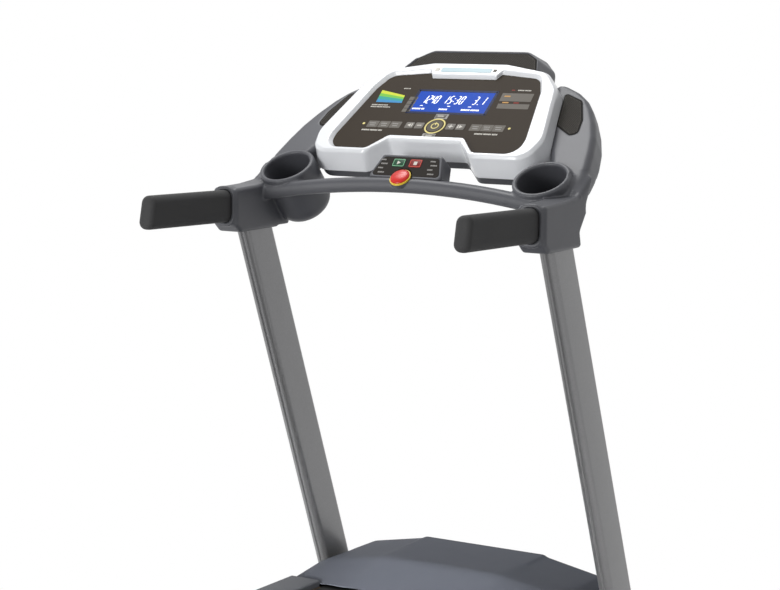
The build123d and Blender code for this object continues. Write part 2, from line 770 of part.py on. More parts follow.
def grip_bar_pocket():
    """Room for the handlebar tube inside the right boot."""
    size = (BAR_WIDTH + 2 * SEAT_GAP, BAR_HEIGHT + 2 * SEAT_GAP)
    back = BOOT_Y - GRIP_START_Y
    return grip_plane(BASE_HALF_SPACING, back) * extrude(RectangleRounded(*size, BAR_CORNER), 2 * back)


def grip_pocket():
    """Mouth of the collar that takes the end of the right grip."""
    size = (GRIP_WIDTH + 2 * SEAT_GAP, GRIP_HEIGHT + 2 * SEAT_GAP)
    return grip_plane(BASE_HALF_SPACING) * extrude(RectangleRounded(*size, GRIP_CORNER), 2 * COLLAR_LENGTH)


def keep_largest(body):
    """The main solid, without offcuts from its pockets."""
    return body.solids().sort_by(SortBy.VOLUME)[-1]


# Crossbar and control pod


@cache
def crossbar_sweep():
    """Arched bar between the boots as one sweep."""
    left = (-CROSSBAR_HALF_SPAN, CROSSBAR_END_Y, CROSSBAR_END_Z)
    right = (CROSSBAR_HALF_SPAN, CROSSBAR_END_Y, CROSSBAR_END_Z)
    path = ThreePointArc(left, (0, CROSSBAR_MID_Y, CROSSBAR_MID_Z), right)
    section = Plane(origin=path @ 0, x_dir=(0, 1, 0), z_dir=path % 0) * RectangleRounded(
        CROSSBAR_DEPTH, CROSSBAR_HEIGHT, CROSSBAR_CORNER
    )
    return sweep(section, path)


def crossbar():
    """Arched crossbar, cut where it meets the boots, the cups and the safety key's collar."""
    bar = crossbar_sweep() - rod(safety_plane(COLLAR_BASE), COLLAR_RADIUS + SEAT_GAP, 2 * COLLAR_RADIUS)
    return without_pairs(bar, [boot(), cup_outside(SEAT_GAP)])


def without_pairs(body, forms):
    """A body cut by right-hand forms and by their left-hand copies."""
    for form in forms:
        body = keep_largest(body - form)
        body = keep_largest(body - mirrored(form))
    return body


def pod_outline(grow=0.0):
    """Face of the pod: wider at its low edge."""
    half = [(POD_LOW_HALF + grow, -grow, POD_CORNER), (POD_HIGH_HALF + grow, POD_FACE + grow, POD_CORNER)]
    return outline(both_halves(half))


def pod_body():
    """Pod housing that flares back from its face and sits on the crossbar."""
    sections = [
        pod(0) * pod_outline(0),
        pod(-POD_RIM) * pod_outline(POD_RIM / 2),
        pod(-POD_BACK_DEPTH) * pod_outline(POD_FLARE),
    ]
    body = loft(sections, ruled=True) - crossbar_sweep()
    body -= pod(-PANEL_THICK) * extrude(pod_outline(-POD_RIM), PANEL_THICK)
    body -= rod(safety_plane(COLLAR_BASE), COLLAR_RADIUS + SEAT_GAP, 2 * COLLAR_RADIUS)
    body -= bezel_outside(SEAT_GAP)
    for u in (START_U, STOP_U):
        body -= pod_key_block(u, KEY_GAP, -PANEL_THICK - 2 * KEY_STROKE)
    return keep_largest(body)


def pod_panel():
    """Thin face plate of the pod with windows for its keys and the safety key."""
    panel = pod(-PANEL_THICK) * extrude(pod_outline(-POD_RIM - SEAT_GAP), PANEL_THICK)
    panel -= rod(safety_plane(COLLAR_BASE), COLLAR_RADIUS + SEAT_GAP, 2 * COLLAR_RADIUS)
    for u in (START_U, STOP_U):
        panel -= pod_key_block(u, KEY_GAP, -2 * PANEL_THICK)
    return panel


def pod_key_block(u, grow, bottom):
    """Slanted key on the pod from a depth up to its proud face."""
    key = RectangleRounded(POD_KEY_WIDTH + 2 * grow, POD_KEY_HEIGHT + 2 * grow, KEY_CORNER + grow)
    return pod(bottom) * Pos(u, POD_KEY_V, 0) * extrude(key, KEY_PROUD - bottom + grow)


def pod_key(u):
    """Start or stop key with a softened top edge."""
    key = pod_key_block(u, 0.0, -PANEL_THICK + SEAT_GAP)
    above = pod(4 * PANEL_THICK).from_local_coords((u, POD_KEY_V, 0))
    return chamfer(key.faces().sort_by_distance(above)[0].edges(), KEY_PROUD / 2)


def safety_plane(offset=0.0, slip=0.0):
    """Plane of the safety key's seat at the pod's low edge, tilted less than the pod's face."""
    seat = pod().from_local_coords((SAFETY_U, SAFETY_V, 0))
    face = tilted(seat.Y, seat.Z, SAFETY_TILT, offset, seat.X)
    return Plane(origin=face.from_local_coords((0, -slip, 0)), x_dir=face.x_dir, z_dir=face.z_dir)


def safety_collar():
    """Ring that the safety key clips on, with a hole for its stem."""
    ring = rod(safety_plane(COLLAR_BASE), COLLAR_RADIUS, COLLAR_TOP - COLLAR_BASE)
    edge = ring.edges().filter_by(GeomType.CIRCLE).sort_by(Axis.Z)[-1]
    ring = fillet(edge, (COLLAR_TOP - COLLAR_BASE) / 4)
    seat = safety_plane(COLLAR_TOP - SAFETY_STEM - SEAT_GAP, SAFETY_DROP)
    hole = rod(seat, SAFETY_STEM_RADIUS + KEY_GAP, 2 * SAFETY_STEM)
    return ring - hole


def safety_key():
    """Domed pull key with a short stem."""
    dome = rod(safety_plane(COLLAR_TOP + SEAT_GAP, SAFETY_DROP), SAFETY_RADIUS, SAFETY_HEIGHT)
    top = dome.edges().filter_by(GeomType.CIRCLE).sort_by(Axis.Z)[-1]
    dome = fillet(top, SAFETY_ROUND)
    stem_foot = safety_plane(COLLAR_TOP - SAFETY_STEM, SAFETY_DROP)
    return dome + rod(stem_foot, SAFETY_STEM_RADIUS, SAFETY_STEM + SEAT_GAP)


# Console

# Right half of the overlay from the notch at the bottom to the tab at the top, as (u, v, corner)
OVERLAY_HALF = [
    (98.0, -2.0, 14.0),
    (138.0, -47.0, 22.0),
    (250.0, -47.0, 36.0),
    (252.0, 2.0, 40.0),
    (221.0, 164.0, 40.0),
    (200.0, 213.0, 30.0),
    (95.0, 226.0, 3.0),
    (86.0, 207.0, 4.0),
]

# Right half of the bezel's rim, as (u, v, corner)
BEZEL_HALF = [
    (97.0, -21.0, 14.0),
    (140.0, -66.0, 26.0),
    (284.0, -66.0, 46.0),
    (302.0, 0.0, 70.0),
    (262.0, 175.0, 60.0),
    (215.0, 232.0, 50.0),
    (100.0, 258.0, 60.0),
]

# Right half of the hump behind the bezel, as (u, v, corner)
HUMP_HALF = [
    (196.0, 205.0, 4.0),
    (184.0, 244.0, 10.0),
    (168.0, 282.0, 26.0),
    (130.0, 311.0, 24.0),
]

# Right half of the grille in the hump, as (u, v, corner)
TOP_GRILLE_HALF = [
    (180.0, 236.0, 4.0),
    (161.0, 284.0, 16.0),
    (130.0, 304.0, 14.0),
]

# Grille in the right wing, as (u, v, corner)
SIDE_GRILLE = [
    (285.0, 88.0, 8.0),
    (330.0, 57.0, 10.0),
    (350.0, 62.0, 14.0),
    (343.0, 110.0, 20.0),
    (316.0, 174.0, 16.0),
    (262.0, 200.0, 6.0),
]


@cache
def bezel_outside(grow=0.0):
    """Outer form of the bezel: drafted skirt under a rounded rim."""
    rim = both_halves(BEZEL_HALF)
    sections = [
        console(BEZEL_SKIRT - grow) * outline(grown(rim, BEZEL_DRAFT + grow)),
        console(BEZEL_SHOULDER) * outline(grown(rim, grow)),
        console(BEZEL_RIM + grow) * outline(grown(rim, grow - BEZEL_ROUND)),
    ]
    return loft(sections, ruled=True)


def console_bezel():
    """Bezel: rim round a sunken seat for the overlay, hollow behind, notched over the wings."""
    rim, face = both_halves(BEZEL_HALF), both_halves(OVERLAY_HALF)
    body = bezel_outside()
    seat = [
        console(-OVERLAY_THICK) * outline(grown(face, SEAT_GAP)),
        console(0) * outline(grown(face, SEAT_GAP)),
        console(BEZEL_RIM + SEAT_GAP) * outline(grown(face, OVERLAY_LEAD)),
    ]
    body -= loft(seat, ruled=True)
    under = -OVERLAY_THICK - BEZEL_PLATE
    hollow = [
        console(BEZEL_SKIRT - SEAT_GAP) * outline(grown(rim, BEZEL_DRAFT - BEZEL_WALL)),
        console(under) * outline(grown(rim, -BEZEL_WALL)),
    ]
    body -= loft(hollow, ruled=True)
    body -= console(under) * Pos(LCD_U, LCD_V, 0) * extrude(Rectangle(*lcd_opening()), BEZEL_PLATE)
    for u in (-BOARD_WIDTH / 2, BOARD_WIDTH / 2):
        for v in (-BOARD_HEIGHT / 2, BOARD_HEIGHT / 2):
            spot = Pos(LCD_U + standoff_place(u), LCD_V + standoff_place(v), 0)
            body += console(under - BOARD_STANDOFF) * spot * extrude(Circle(STANDOFF_RADIUS), BOARD_STANDOFF)
    for block in key_blocks(KEY_GAP, -OVERLAY_THICK - 2 * KEY_STROKE):
        body -= block
    return without_pairs(body, [wing(), boot(), cup_outside(SEAT_GAP)])


def standoff_place(edge):
    """Place of a standoff inside the board's edge."""
    return edge - 2 * STANDOFF_RADIUS if edge > 0 else edge + 2 * STANDOFF_RADIUS


def lcd_opening():
    """Width and height of the display block behind the window."""
    return LCD_WIDTH - 2 * LCD_FRAME, LCD_HEIGHT - 2 * LCD_FRAME


def key_places():
    """Key names with their place, width, height and corner; the round key comes first."""
    places = {"round_key": (0.0, KEY_ROW_V, 2 * ROUND_KEY_RADIUS, 2 * ROUND_KEY_RADIUS)}
    for name, u in (("near", NAV_NEAR_U), ("far", NAV_FAR_U)):
        places[f"left_{name}_key"] = (-u, KEY_ROW_V, KEY_WIDTH, KEY_HEIGHT)
        places[f"right_{name}_key"] = (u, KEY_ROW_V, KEY_WIDTH, KEY_HEIGHT)
    places["upper_key"] = (0.0, KEY_ROW_V + SMALL_KEY_OFFSET, SMALL_KEY_WIDTH, SMALL_KEY_HEIGHT)
    places["lower_key"] = (0.0, KEY_ROW_V - SMALL_KEY_OFFSET, SMALL_KEY_WIDTH, SMALL_KEY_HEIGHT)
    return places


def key_block(name, grow, bottom):
    """One console key from a depth up to its proud face."""
    u, v, width, height = key_places()[name]
    if name == "round_key":
        face = Circle(ROUND_KEY_RADIUS + grow)
    else:
        face = RectangleRounded(width + 2 * grow, height + 2 * grow, KEY_CORNER + grow)
    return console(bottom) * Pos(u, v, 0) * extrude(face, KEY_PROUD - bottom + grow)


def key_blocks(grow, bottom):
    """All console keys as blocks."""
    return [key_block(name, grow, bottom) for name in key_places()]


def console_key(name):
    """Console key with a softened top edge."""
    key = key_block(name, 0.0, -OVERLAY_THICK + SEAT_GAP)
    u, v = key_places()[name][:2]
    top = key.faces().sort_by_distance(console(4 * OVERLAY_THICK).from_local_coords((u, v, 0)))[0]
    return chamfer(top.edges(), KEY_PROUD / 2)


def console_overlay():
    """Face plate of the console with windows for the display and the keys."""
    plate = console(-OVERLAY_THICK) * extrude(outline(both_halves(OVERLAY_HALF)), OVERLAY_THICK)
    recess = console(-LCD_GLASS) * Pos(LCD_U, LCD_V, 0)
    plate -= recess * extrude(Rectangle(LCD_WIDTH + 2 * SEAT_GAP, LCD_HEIGHT + 2 * SEAT_GAP), 2 * LCD_GLASS)
    window = console(-OVERLAY_THICK) * Pos(LCD_U, LCD_V, 0)
    plate -= window * extrude(Rectangle(*lcd_opening()), OVERLAY_THICK)
    for block in key_blocks(KEY_GAP, -2 * OVERLAY_THICK):
        plate -= block
    return plate


def lcd_window():
    """Clear window over the display."""
    return console(-LCD_GLASS) * Pos(LCD_U, LCD_V, 0) * extrude(Rectangle(LCD_WIDTH, LCD_HEIGHT), LCD_GLASS)


def display_board():
    """Circuit board on its standoffs with the display block that reaches up behind the window."""
    top = -OVERLAY_THICK - BEZEL_PLATE - BOARD_STANDOFF
    sheet = extrude(Rectangle(BOARD_WIDTH, BOARD_HEIGHT), BOARD_PCB)
    board = console(top - BOARD_PCB) * Pos(LCD_U, LCD_V, 0) * sheet
    width, height = lcd_opening()
    block = extrude(Rectangle(width - 2 * SEAT_GAP, height - 2 * SEAT_GAP), -top - LCD_GLASS - SEAT_GAP)
    return board + console(top) * Pos(LCD_U, LCD_V, 0) * block


def shell_pan(inset=0.0):
    """Back pan of the console that tapers away behind the bezel; an inset gives the room inside it."""
    rim = both_halves(BEZEL_HALF)
    seat = BEZEL_DRAFT - SHELL_TUCK - SEAT_GAP - inset
    lift = SEAT_GAP if inset else 0.0
    sections = [
        console(BEZEL_SKIRT + SHELL_LIP + lift) * outline(grown(rim, seat)),
        console(SHELL_STRIP + inset / 2) * outline(grown(rim, seat)),
        console(SHELL_BACK + inset) * outline(grown(rim, -SHELL_BACK_INSET - inset)),
    ]
    return loft(sections, ruled=True)


def console_shell():
    """Back shell: hollow pan with the hump that stands up behind the bezel."""
    hump_face = both_halves(HUMP_HALF)
    hump = loft(
        [
            console(HUMP_BOTTOM) * outline(grown(hump_face, HUMP_FLARE - HUMP_ROUND)),
            console(HUMP_SKIRT) * outline(grown(hump_face, HUMP_FLARE)),
            console(HUMP_TOP - HUMP_ROUND) * outline(hump_face),
            console(HUMP_TOP) * outline(grown(hump_face, -HUMP_ROUND)),
        ],
        ruled=True,
    )
    recess = console(HUMP_TOP - GRILLE_SINK - GRILLE_THICK) * extrude(
        outline(grown(both_halves(TOP_GRILLE_HALF), SEAT_GAP)), 2 * GRILLE_SINK + GRILLE_THICK
    )
    body = shell_pan() + (hump - recess - bezel_outside(SEAT_GAP))
    body -= shell_pan(SHELL_WALL)
    return without_pairs(body, [wing(), boot(), cup_outside(SEAT_GAP)])


def top_grille():
    """Perforated insert in the hump, cut along the bezel."""
    plate = console(HUMP_TOP - GRILLE_SINK - GRILLE_THICK) * extrude(
        outline(both_halves(TOP_GRILLE_HALF)), GRILLE_THICK
    )
    return keep_largest(plate - bezel_outside(SEAT_GAP))


def side_grille_block(grow, depth):
    """Right side grille as a plate let into the wing's top."""
    return console(WING_TOP - depth) * extrude(outline(grown(SIDE_GRILLE, grow)), depth + grow)


def side_grille():
    """Perforated insert in the right wing, cut along the bezel."""
    return keep_largest(side_grille_block(0.0, SIDE_GRILLE_THICK) - bezel_outside(SEAT_GAP))


# Incline lift and fold shaft


def lift_arm():
    """Right lift arm: flat bar with round ends, bored for the lift pin and the fold shaft."""
    low_end = Pos(LIFT_PIVOT_Y, LIFT_PIVOT_Z) * Circle(ARM_END_RADIUS)
    high_end = Pos(FOLD_PIVOT_Y, FOLD_PIVOT_Z) * Circle(ARM_END_RADIUS)
    arm = along_x(0, 0, ARM_INNER) * extrude(make_hull(low_end.edges() + high_end.edges()), ARM_THICK)
    arm -= cross_rod(LIFT_PIVOT_Y, LIFT_PIVOT_Z, LIFT_PIN_RADIUS + RUNNING_GAP, ARM_INNER, ARM_OUTER)
    return arm - cross_rod(FOLD_PIVOT_Y, FOLD_PIVOT_Z, FOLD_SHAFT_RADIUS + RUNNING_GAP, ARM_INNER, ARM_OUTER)


def incline_frame():
    """Torque tube with two arms and the lever that the incline screw pulls."""
    right = lift_arm()
    left = mirrored(right)
    right -= cross_rod(LOCK_Y, LOCK_Z, LOCK_RADIUS + RUNNING_GAP, ARM_INNER, ARM_OUTER)
    frame = right + left
    tube_out = cross_rod(LIFT_PIVOT_Y, LIFT_PIVOT_Z, TORQUE_TUBE_RADIUS, -ARM_INNER, ARM_INNER)
    bore = TORQUE_TUBE_RADIUS - TORQUE_TUBE_WALL
    frame += tube_out - cross_rod(LIFT_PIVOT_Y, LIFT_PIVOT_Z, bore, -ARM_INNER, ARM_INNER)
    for side in (-1, 1):
        low, high = sorted((side * LEVER_HALF_GAP, side * (LEVER_HALF_GAP + LEVER_PLATE)))
        plate = box_between(
            (low, LIFT_PIVOT_Y - LEVER_END_RADIUS, LEVER_Z),
            (high, LIFT_PIVOT_Y + LEVER_END_RADIUS, LIFT_PIVOT_Z),
        )
        plate += cross_rod(LIFT_PIVOT_Y, LEVER_Z, LEVER_END_RADIUS, low, high)
        frame += plate - cross_rod(LIFT_PIVOT_Y, LIFT_PIVOT_Z, bore, low, high)
    return frame + cross_rod(LIFT_PIVOT_Y, LEVER_Z, LEVER_PIN_RADIUS, -LEVER_HALF_GAP, LEVER_HALF_GAP)


def fold_shaft():
    """Shaft that the deck folds about, headed outside both arms."""
    reach = ARM_OUTER + SEAT_GAP
    shaft = cross_rod(FOLD_PIVOT_Y, FOLD_PIVOT_Z, FOLD_SHAFT_RADIUS, -reach, reach)
    head = cross_rod(FOLD_PIVOT_Y, FOLD_PIVOT_Z, FOLD_SHAFT_HEAD_RADIUS, reach, reach + FOLD_SHAFT_HEAD)
    head = chamfer(head.faces().sort_by(Axis.X)[-1].edges(), FOLD_SHAFT_HEAD / 3)
    return shaft + head + mirrored(head)


def screw_plane(distance=0.0):
    """Plane square to the incline screw; its normal runs back from the middle cross tube to the lever."""
    start = MID_CROSS_Y - BASE_TUBE / 2
    return Plane(origin=(0, start - distance, LEVER_Z), x_dir=(1, 0, 0), z_dir=(0, -1, 0))


def incline_motor():
    """Gear case on the middle cross tube, with the motor can beside the screw's tube."""
    case_width = CAN_OFFSET + GEARBOX_RADIUS + CAN_RADIUS
    case_middle = (CAN_OFFSET + CAN_RADIUS - GEARBOX_RADIUS) / 2
    case = screw_plane() * Pos(case_middle, 0, 0) * extrude(
        RectangleRounded(case_width, 2 * GEARBOX_RADIUS, GEARBOX_RADIUS / 2), GEARBOX_LENGTH
    )
    can = screw_plane(GEARBOX_LENGTH) * Pos(CAN_OFFSET, 0, 0) * extrude(Circle(CAN_RADIUS), CAN_LENGTH)
    can = chamfer(can.faces().sort_by(Axis.Y)[0].edges(), CAN_RADIUS / 8)
    sleeve = screw_plane(GEARBOX_LENGTH) * extrude(Circle(SCREW_TUBE_RADIUS), SCREW_TUBE_LENGTH)
    body = case + can + sleeve
    bore = screw_plane(GEARBOX_LENGTH + SCREW_TUBE_LENGTH - SCREW_OVERLAP - LEVER_LENGTH)
    return body - bore * extrude(Circle(SCREW_RADIUS + RUNNING_GAP), SCREW_OVERLAP + 2 * LEVER_LENGTH)


def incline_rod():
    """Screw with an eye whose upright slot takes the lever's pin."""
    start = GEARBOX_LENGTH + SCREW_TUBE_LENGTH - SCREW_OVERLAP
    reach = MID_CROSS_Y - BASE_TUBE / 2 - LIFT_PIVOT_Y
    half = LEVER_HALF_GAP - EYE_SIDE_GAP
    screw = screw_plane(start) * extrude(Circle(SCREW_RADIUS), reach - start)
    eye = cross_rod(LIFT_PIVOT_Y, LEVER_Z, EYE_RADIUS, -half, half)
    slot = along_x(LIFT_PIVOT_Y, LEVER_Z, -half) * extrude(
        SlotCenterToCenter(2 * LEVER_SLOT, 2 * (LEVER_PIN_RADIUS + SEAT_GAP), rotation=90), 2 * half
    )
    return screw + eye - slot


def lock_plunger():
    """Spring plunger of the fold lock with a pull knob."""
    tip = DECK_TUBE_OUTER + QUADRANT_THICK + SEAT_GAP
    end = ARM_OUTER + LOCK_STEM
    pin = cross_rod(LOCK_Y, LOCK_Z, LOCK_RADIUS, tip, end)
    knob = cross_rod(LOCK_Y, LOCK_Z, LOCK_KNOB_RADIUS, end, end + LOCK_KNOB)
    return pin + chamfer(knob.edges().filter_by(GeomType.CIRCLE), LOCK_KNOB / 6)


# Running deck


def lock_quadrant():
    """Plate beside the fold pivot with the hole that the lock drops into when the deck is up."""
    angle = atan2(LOCK_Z - FOLD_PIVOT_Z, LOCK_Y - FOLD_PIVOT_Y) + radians(FOLD_ANGLE)
    rim = LOCK_REACH + QUADRANT_MARGIN
    disc = Circle(rim) - Pos(rim + ARM_END_RADIUS, 0) * Rectangle(2 * rim, 2 * rim)
    disc -= Pos(0, rim + ARM_END_RADIUS) * Rectangle(2 * rim, 2 * rim)
    disc -= Pos(LOCK_REACH * cos(angle), LOCK_REACH * sin(angle)) * Circle(LOCK_RADIUS + KEY_GAP)
    return along_x(FOLD_PIVOT_Y, FOLD_PIVOT_Z, DECK_TUBE_OUTER) * extrude(disc, QUADRANT_THICK)


def deck_side():
    """Right side of the deck frame: tube, pivot boss and cradles for the roller axles."""
    middle = DECK_TUBE_BOTTOM + DECK_TUBE_HEIGHT / 2
    length = FOLD_PIVOT_Y - DECK_REAR_Y
    start = along_y(DECK_TUBE_X, DECK_REAR_Y, middle)
    side = tube(start, DECK_TUBE_WIDTH, DECK_TUBE_HEIGHT, DECK_TUBE_WALL, BASE_CORNER, length)
    side += cross_rod(FOLD_PIVOT_Y, FOLD_PIVOT_Z, ARM_END_RADIUS, DECK_TUBE_INNER, DECK_TUBE_OUTER)
    for y in (FRONT_ROLLER_Y, REAR_ROLLER_Y):
        cradle = box_between(
            (DECK_TUBE_INNER, y - AXLE_CRADLE / 2, DECK_TUBE_TOP - BASE_CORNER),
            (DECK_TUBE_OUTER, y + AXLE_CRADLE / 2, ROLLER_Z + 2 * ROLLER_AXLE_RADIUS),
        )
        side += cradle
        side -= cross_rod(y, ROLLER_Z, ROLLER_AXLE_RADIUS, DECK_TUBE_INNER, DECK_TUBE_OUTER)
    return side


def deck_frame():
    """Ladder frame of the deck with the motor plate, the pivot bosses and the lock's quadrant."""
    side = deck_side()
    frame = side + mirrored(side) + lock_quadrant()
    span = 2 * DECK_TUBE_INNER
    cross_z = BELT_UNDERSIDE + BELT_THICK + CROSS_BELT_GAP + CROSS_HEIGHT / 2
    for y in CROSS_STATIONS:
        start = along_x(y, cross_z, -DECK_TUBE_INNER)
        frame += tube(start, CROSS_DEPTH, CROSS_HEIGHT, DECK_TUBE_WALL, BASE_CORNER, span)
    frame += box_between(
        (-DECK_TUBE_INNER, MOTOR_PLATE_REAR_Y, MOTOR_PLATE_Z),
        (DECK_TUBE_INNER, MOTOR_PLATE_FRONT_Y, MOTOR_PLATE_TOP),
    )
    return frame - cross_rod(
        FOLD_PIVOT_Y, FOLD_PIVOT_Z, FOLD_SHAFT_RADIUS + RUNNING_GAP, -RAIL_OUTER_X, RAIL_OUTER_X
    )


def deck_board():
    """Running board with eased long edges."""
    board = box_between(
        (-BOARD_HALF_WIDTH, REAR_ROLLER_Y + BOARD_END_GAP, BOARD_BOTTOM),
        (BOARD_HALF_WIDTH, FRONT_ROLLER_Y - BOARD_END_GAP, DECK_TOP),
    )
    return chamfer(board.edges().filter_by(Axis.X), BOARD_THICK / 6)


def deck_cushions():
    """Rubber cushions between the deck tubes and the board."""
    return Compound(
        children=[
            Pos(x, y, DECK_TUBE_TOP) * extrude(Circle(CUSHION_RADIUS), BOARD_BOTTOM - DECK_TUBE_TOP)
            for x in (-DECK_TUBE_X, DECK_TUBE_X)
            for y in CUSHION_STATIONS
        ]
    )


def walking_belt():
    """Endless belt round both rollers and over the board."""
    apart = FRONT_ROLLER_Y - REAR_ROLLER_Y
    bend = ROLLER_RADIUS + SEAT_GAP
    loop = SlotCenterToCenter(apart, 2 * (bend + BELT_THICK)) - SlotCenterToCenter(apart, 2 * bend)
    middle = (FRONT_ROLLER_Y + REAR_ROLLER_Y) / 2
    return along_x(middle, ROLLER_Z, -BELT_WIDTH / 2) * extrude(loop, BELT_WIDTH)


def roller(y):
    """Roller tube with end bushings that run on a fixed axle."""
    half = RAIL_INNER_X
    body = cross_rod(y, ROLLER_Z, ROLLER_RADIUS, -half, half)
    body -= cross_rod(y, ROLLER_Z, ROLLER_BORE, -half + ROLLER_RADIUS, half - ROLLER_RADIUS)
    return body - cross_rod(y, ROLLER_Z, ROLLER_AXLE_RADIUS + RUNNING_GAP, -half, half)


def front_roller():
    """Front roller with the driven pulley on its right end."""
    end = PULLEY_START_X + PULLEY_WIDTH
    pulley = cross_rod(FRONT_ROLLER_Y, ROLLER_Z, ROLLER_PULLEY_RADIUS, PULLEY_START_X, end)
    hub = cross_rod(FRONT_ROLLER_Y, ROLLER_Z, ROLLER_BORE, RAIL_INNER_X, PULLEY_START_X)
    bore = cross_rod(FRONT_ROLLER_Y, ROLLER_Z, ROLLER_AXLE_RADIUS + RUNNING_GAP, RAIL_INNER_X, end)
    return roller(FRONT_ROLLER_Y) + (pulley + hub - bore)


def roller_axles():
    """Fixed axles of both rollers."""
    return Compound(
        children=[
            cross_rod(y, ROLLER_Z, ROLLER_AXLE_RADIUS, -DECK_TUBE_OUTER, DECK_TUBE_OUTER)
            for y in (FRONT_ROLLER_Y, REAR_ROLLER_Y)
        ]
    )


def rear_feet():
    """Levelling feet under the rear of the deck."""
    pad = Pos(DECK_TUBE_X, FOOT_Y, 0) * extrude(Circle(FOOT_RADIUS), FOOT_PAD)
    pad = chamfer(pad.edges().filter_by(GeomType.CIRCLE), FOOT_PAD / 5)
    stem = Pos(DECK_TUBE_X, FOOT_Y, FOOT_PAD) * extrude(Circle(FOOT_STEM_RADIUS), DECK_TUBE_BOTTOM - FOOT_PAD)
    return pair(pad + stem)


# Rails, caps and hood


def side_rail():
    """Right foot rail: thin channel over the board's edge and the deck tube."""
    skin = [
        (RAIL_INNER_X, DECK_TOP, 0.0),
        (RAIL_INNER_X, RAIL_TOP, RAIL_SHOULDER / 2),
        (RAIL_OUTER_X, RAIL_TOP, RAIL_SHOULDER),
        (RAIL_OUTER_X, RAIL_SKIRT_Z, 0.0),
        (RAIL_OUTER_X - RAIL_WALL, RAIL_SKIRT_Z, 0.0),
        (RAIL_OUTER_X - RAIL_WALL, RAIL_TOP - RAIL_WALL, RAIL_SHOULDER - RAIL_WALL),
        (RAIL_INNER_X + RAIL_WALL, RAIL_TOP - RAIL_WALL, RAIL_SHOULDER / 2 - RAIL_WALL),
        (RAIL_INNER_X + RAIL_WALL, DECK_TOP, 0.0),
    ]
    front = HOOD_REAR_Y - SEAT_GAP
    return facing_back(front) * extrude(outline(skin), front - DECK_REAR_Y)


def facing_back(y):
    """Plane across the length whose local axes are X and Z of the part and whose normal runs back."""
    return Plane(origin=(0, y, 0), x_dir=(1, 0, 0), z_dir=(0, -1, 0))


def end_cap():
    """Right rear cap that closes the rail and hides the tube's end."""
    corner = [
        (RAIL_INNER_X, DECK_TUBE_BOTTOM, 0.0),
        (RAIL_OUTER_X, DECK_TUBE_BOTTOM, CAP_CORNER),
        (RAIL_OUTER_X, RAIL_TOP, RAIL_SHOULDER),
        (RAIL_INNER_X, RAIL_TOP, RAIL_SHOULDER / 2),
    ]
    start = DECK_REAR_Y - SEAT_GAP
    length = start - REAR_Y
    sections = [
        facing_back(start) * outline(corner),
        facing_back(start - length / 2) * outline(corner),
        facing_back(REAR_Y) * outline(grown(corner, -CAP_CORNER / 2)),
    ]
    return loft(sections, ruled=True)


def hood_section(crown, drop, low, inset=0.0):
    """Cross-section of the hood: raised plateau, sloped shoulders and upright sides."""
    step = HOOD_STEP * drop / HOOD_SHOULDER_DROP
    half = [
        (RAIL_OUTER_X - inset, low, 0.0),
        (RAIL_OUTER_X - inset, crown - HOOD_SIDE_DROP * drop - inset, HOOD_EDGE),
        (HOOD_SHOULDER_X, crown - drop - inset, HOOD_CORNER),
        (HOOD_PLATEAU + HOOD_STEP_RUN, crown - step - inset, HOOD_STEP_CORNER),
        (HOOD_PLATEAU, crown - inset, HOOD_STEP_CORNER),
    ]
    return outline(both_halves(half))


def hood_form(inset=0.0):
    """Hood form; an inset gives the room under it, open at the back and below."""
    stations = [
        (HOOD_REAR_Y - inset, HOOD_REAR_Z, HOOD_REAR_DROP, RAIL_SKIRT_Z),
        (HOOD_SLOPE_Y, HOOD_SLOPE_Z, HOOD_SLOPE_DROP, RAIL_SKIRT_Z),
        (HOOD_CREST_Y - inset / 2, HOOD_CREST_Z, HOOD_SHOULDER_DROP, RAIL_SKIRT_Z),
        (HOOD_NOSE_Y - inset, HOOD_NOSE_Z, HOOD_NOSE_DROP, NOSE_LIP_Z),
    ]
    sections = [
        facing_back(y) * hood_section(crown, drop, low - 4 * inset, inset) for y, crown, drop, low in stations
    ]
    return loft(sections, ruled=True)


def hood_cover():
    """Motor hood as a thin shell, arched round the fold pivot on both sides."""
    hood = hood_form() - hood_form(HOOD_WALL)
    wall = 2 * HOOD_WALL
    arch = cross_rod(FOLD_PIVOT_Y, FOLD_PIVOT_Z, HOOD_ARCH_RADIUS, RAIL_OUTER_X - wall, RAIL_OUTER_X + wall)
    arch -= box_between(
        (RAIL_OUTER_X - wall, FOLD_PIVOT_Y - HOOD_ARCH_RADIUS, FOLD_PIVOT_Z + ARM_END_RADIUS),
        (RAIL_OUTER_X + wall, FOLD_PIVOT_Y + HOOD_ARCH_RADIUS, FOLD_PIVOT_Z + HOOD_ARCH_RADIUS),
    )
    hood = keep_largest(hood - arch - mirrored(arch))
    ledge = box_between(
        (DECK_TUBE_X, HOOD_LEDGE_Y, DECK_TUBE_TOP),
        (RAIL_OUTER_X - HOOD_WALL / 2, HOOD_LEDGE_Y + HOOD_LEDGE_LENGTH, DECK_TUBE_TOP + HOOD_WALL),
    )
    return hood + ledge + mirrored(ledge)


def belly_pan():
    """Thin tray under the motor that turns up to the hood's nose."""
    low, high = DECK_TUBE_BOTTOM - PAN_THICK, DECK_TUBE_BOTTOM
    lip_y = HOOD_NOSE_Y - HOOD_WALL - SEAT_GAP
    side = [
        (PAN_REAR_Y, low, 0.0),
        (PAN_NOSE_Y, low, 2 * PAN_THICK),
        (lip_y, NOSE_LIP_Z, 0.0),
        (lip_y - PAN_THICK, NOSE_LIP_Z, 0.0),
        (PAN_NOSE_Y - PAN_THICK / 2, high, PAN_THICK),
        (PAN_REAR_Y, high, 0.0),
    ]
    half = DECK_TUBE_OUTER
    return along_x(0, 0, -half) * extrude(outline(side), 2 * half)


# Drive


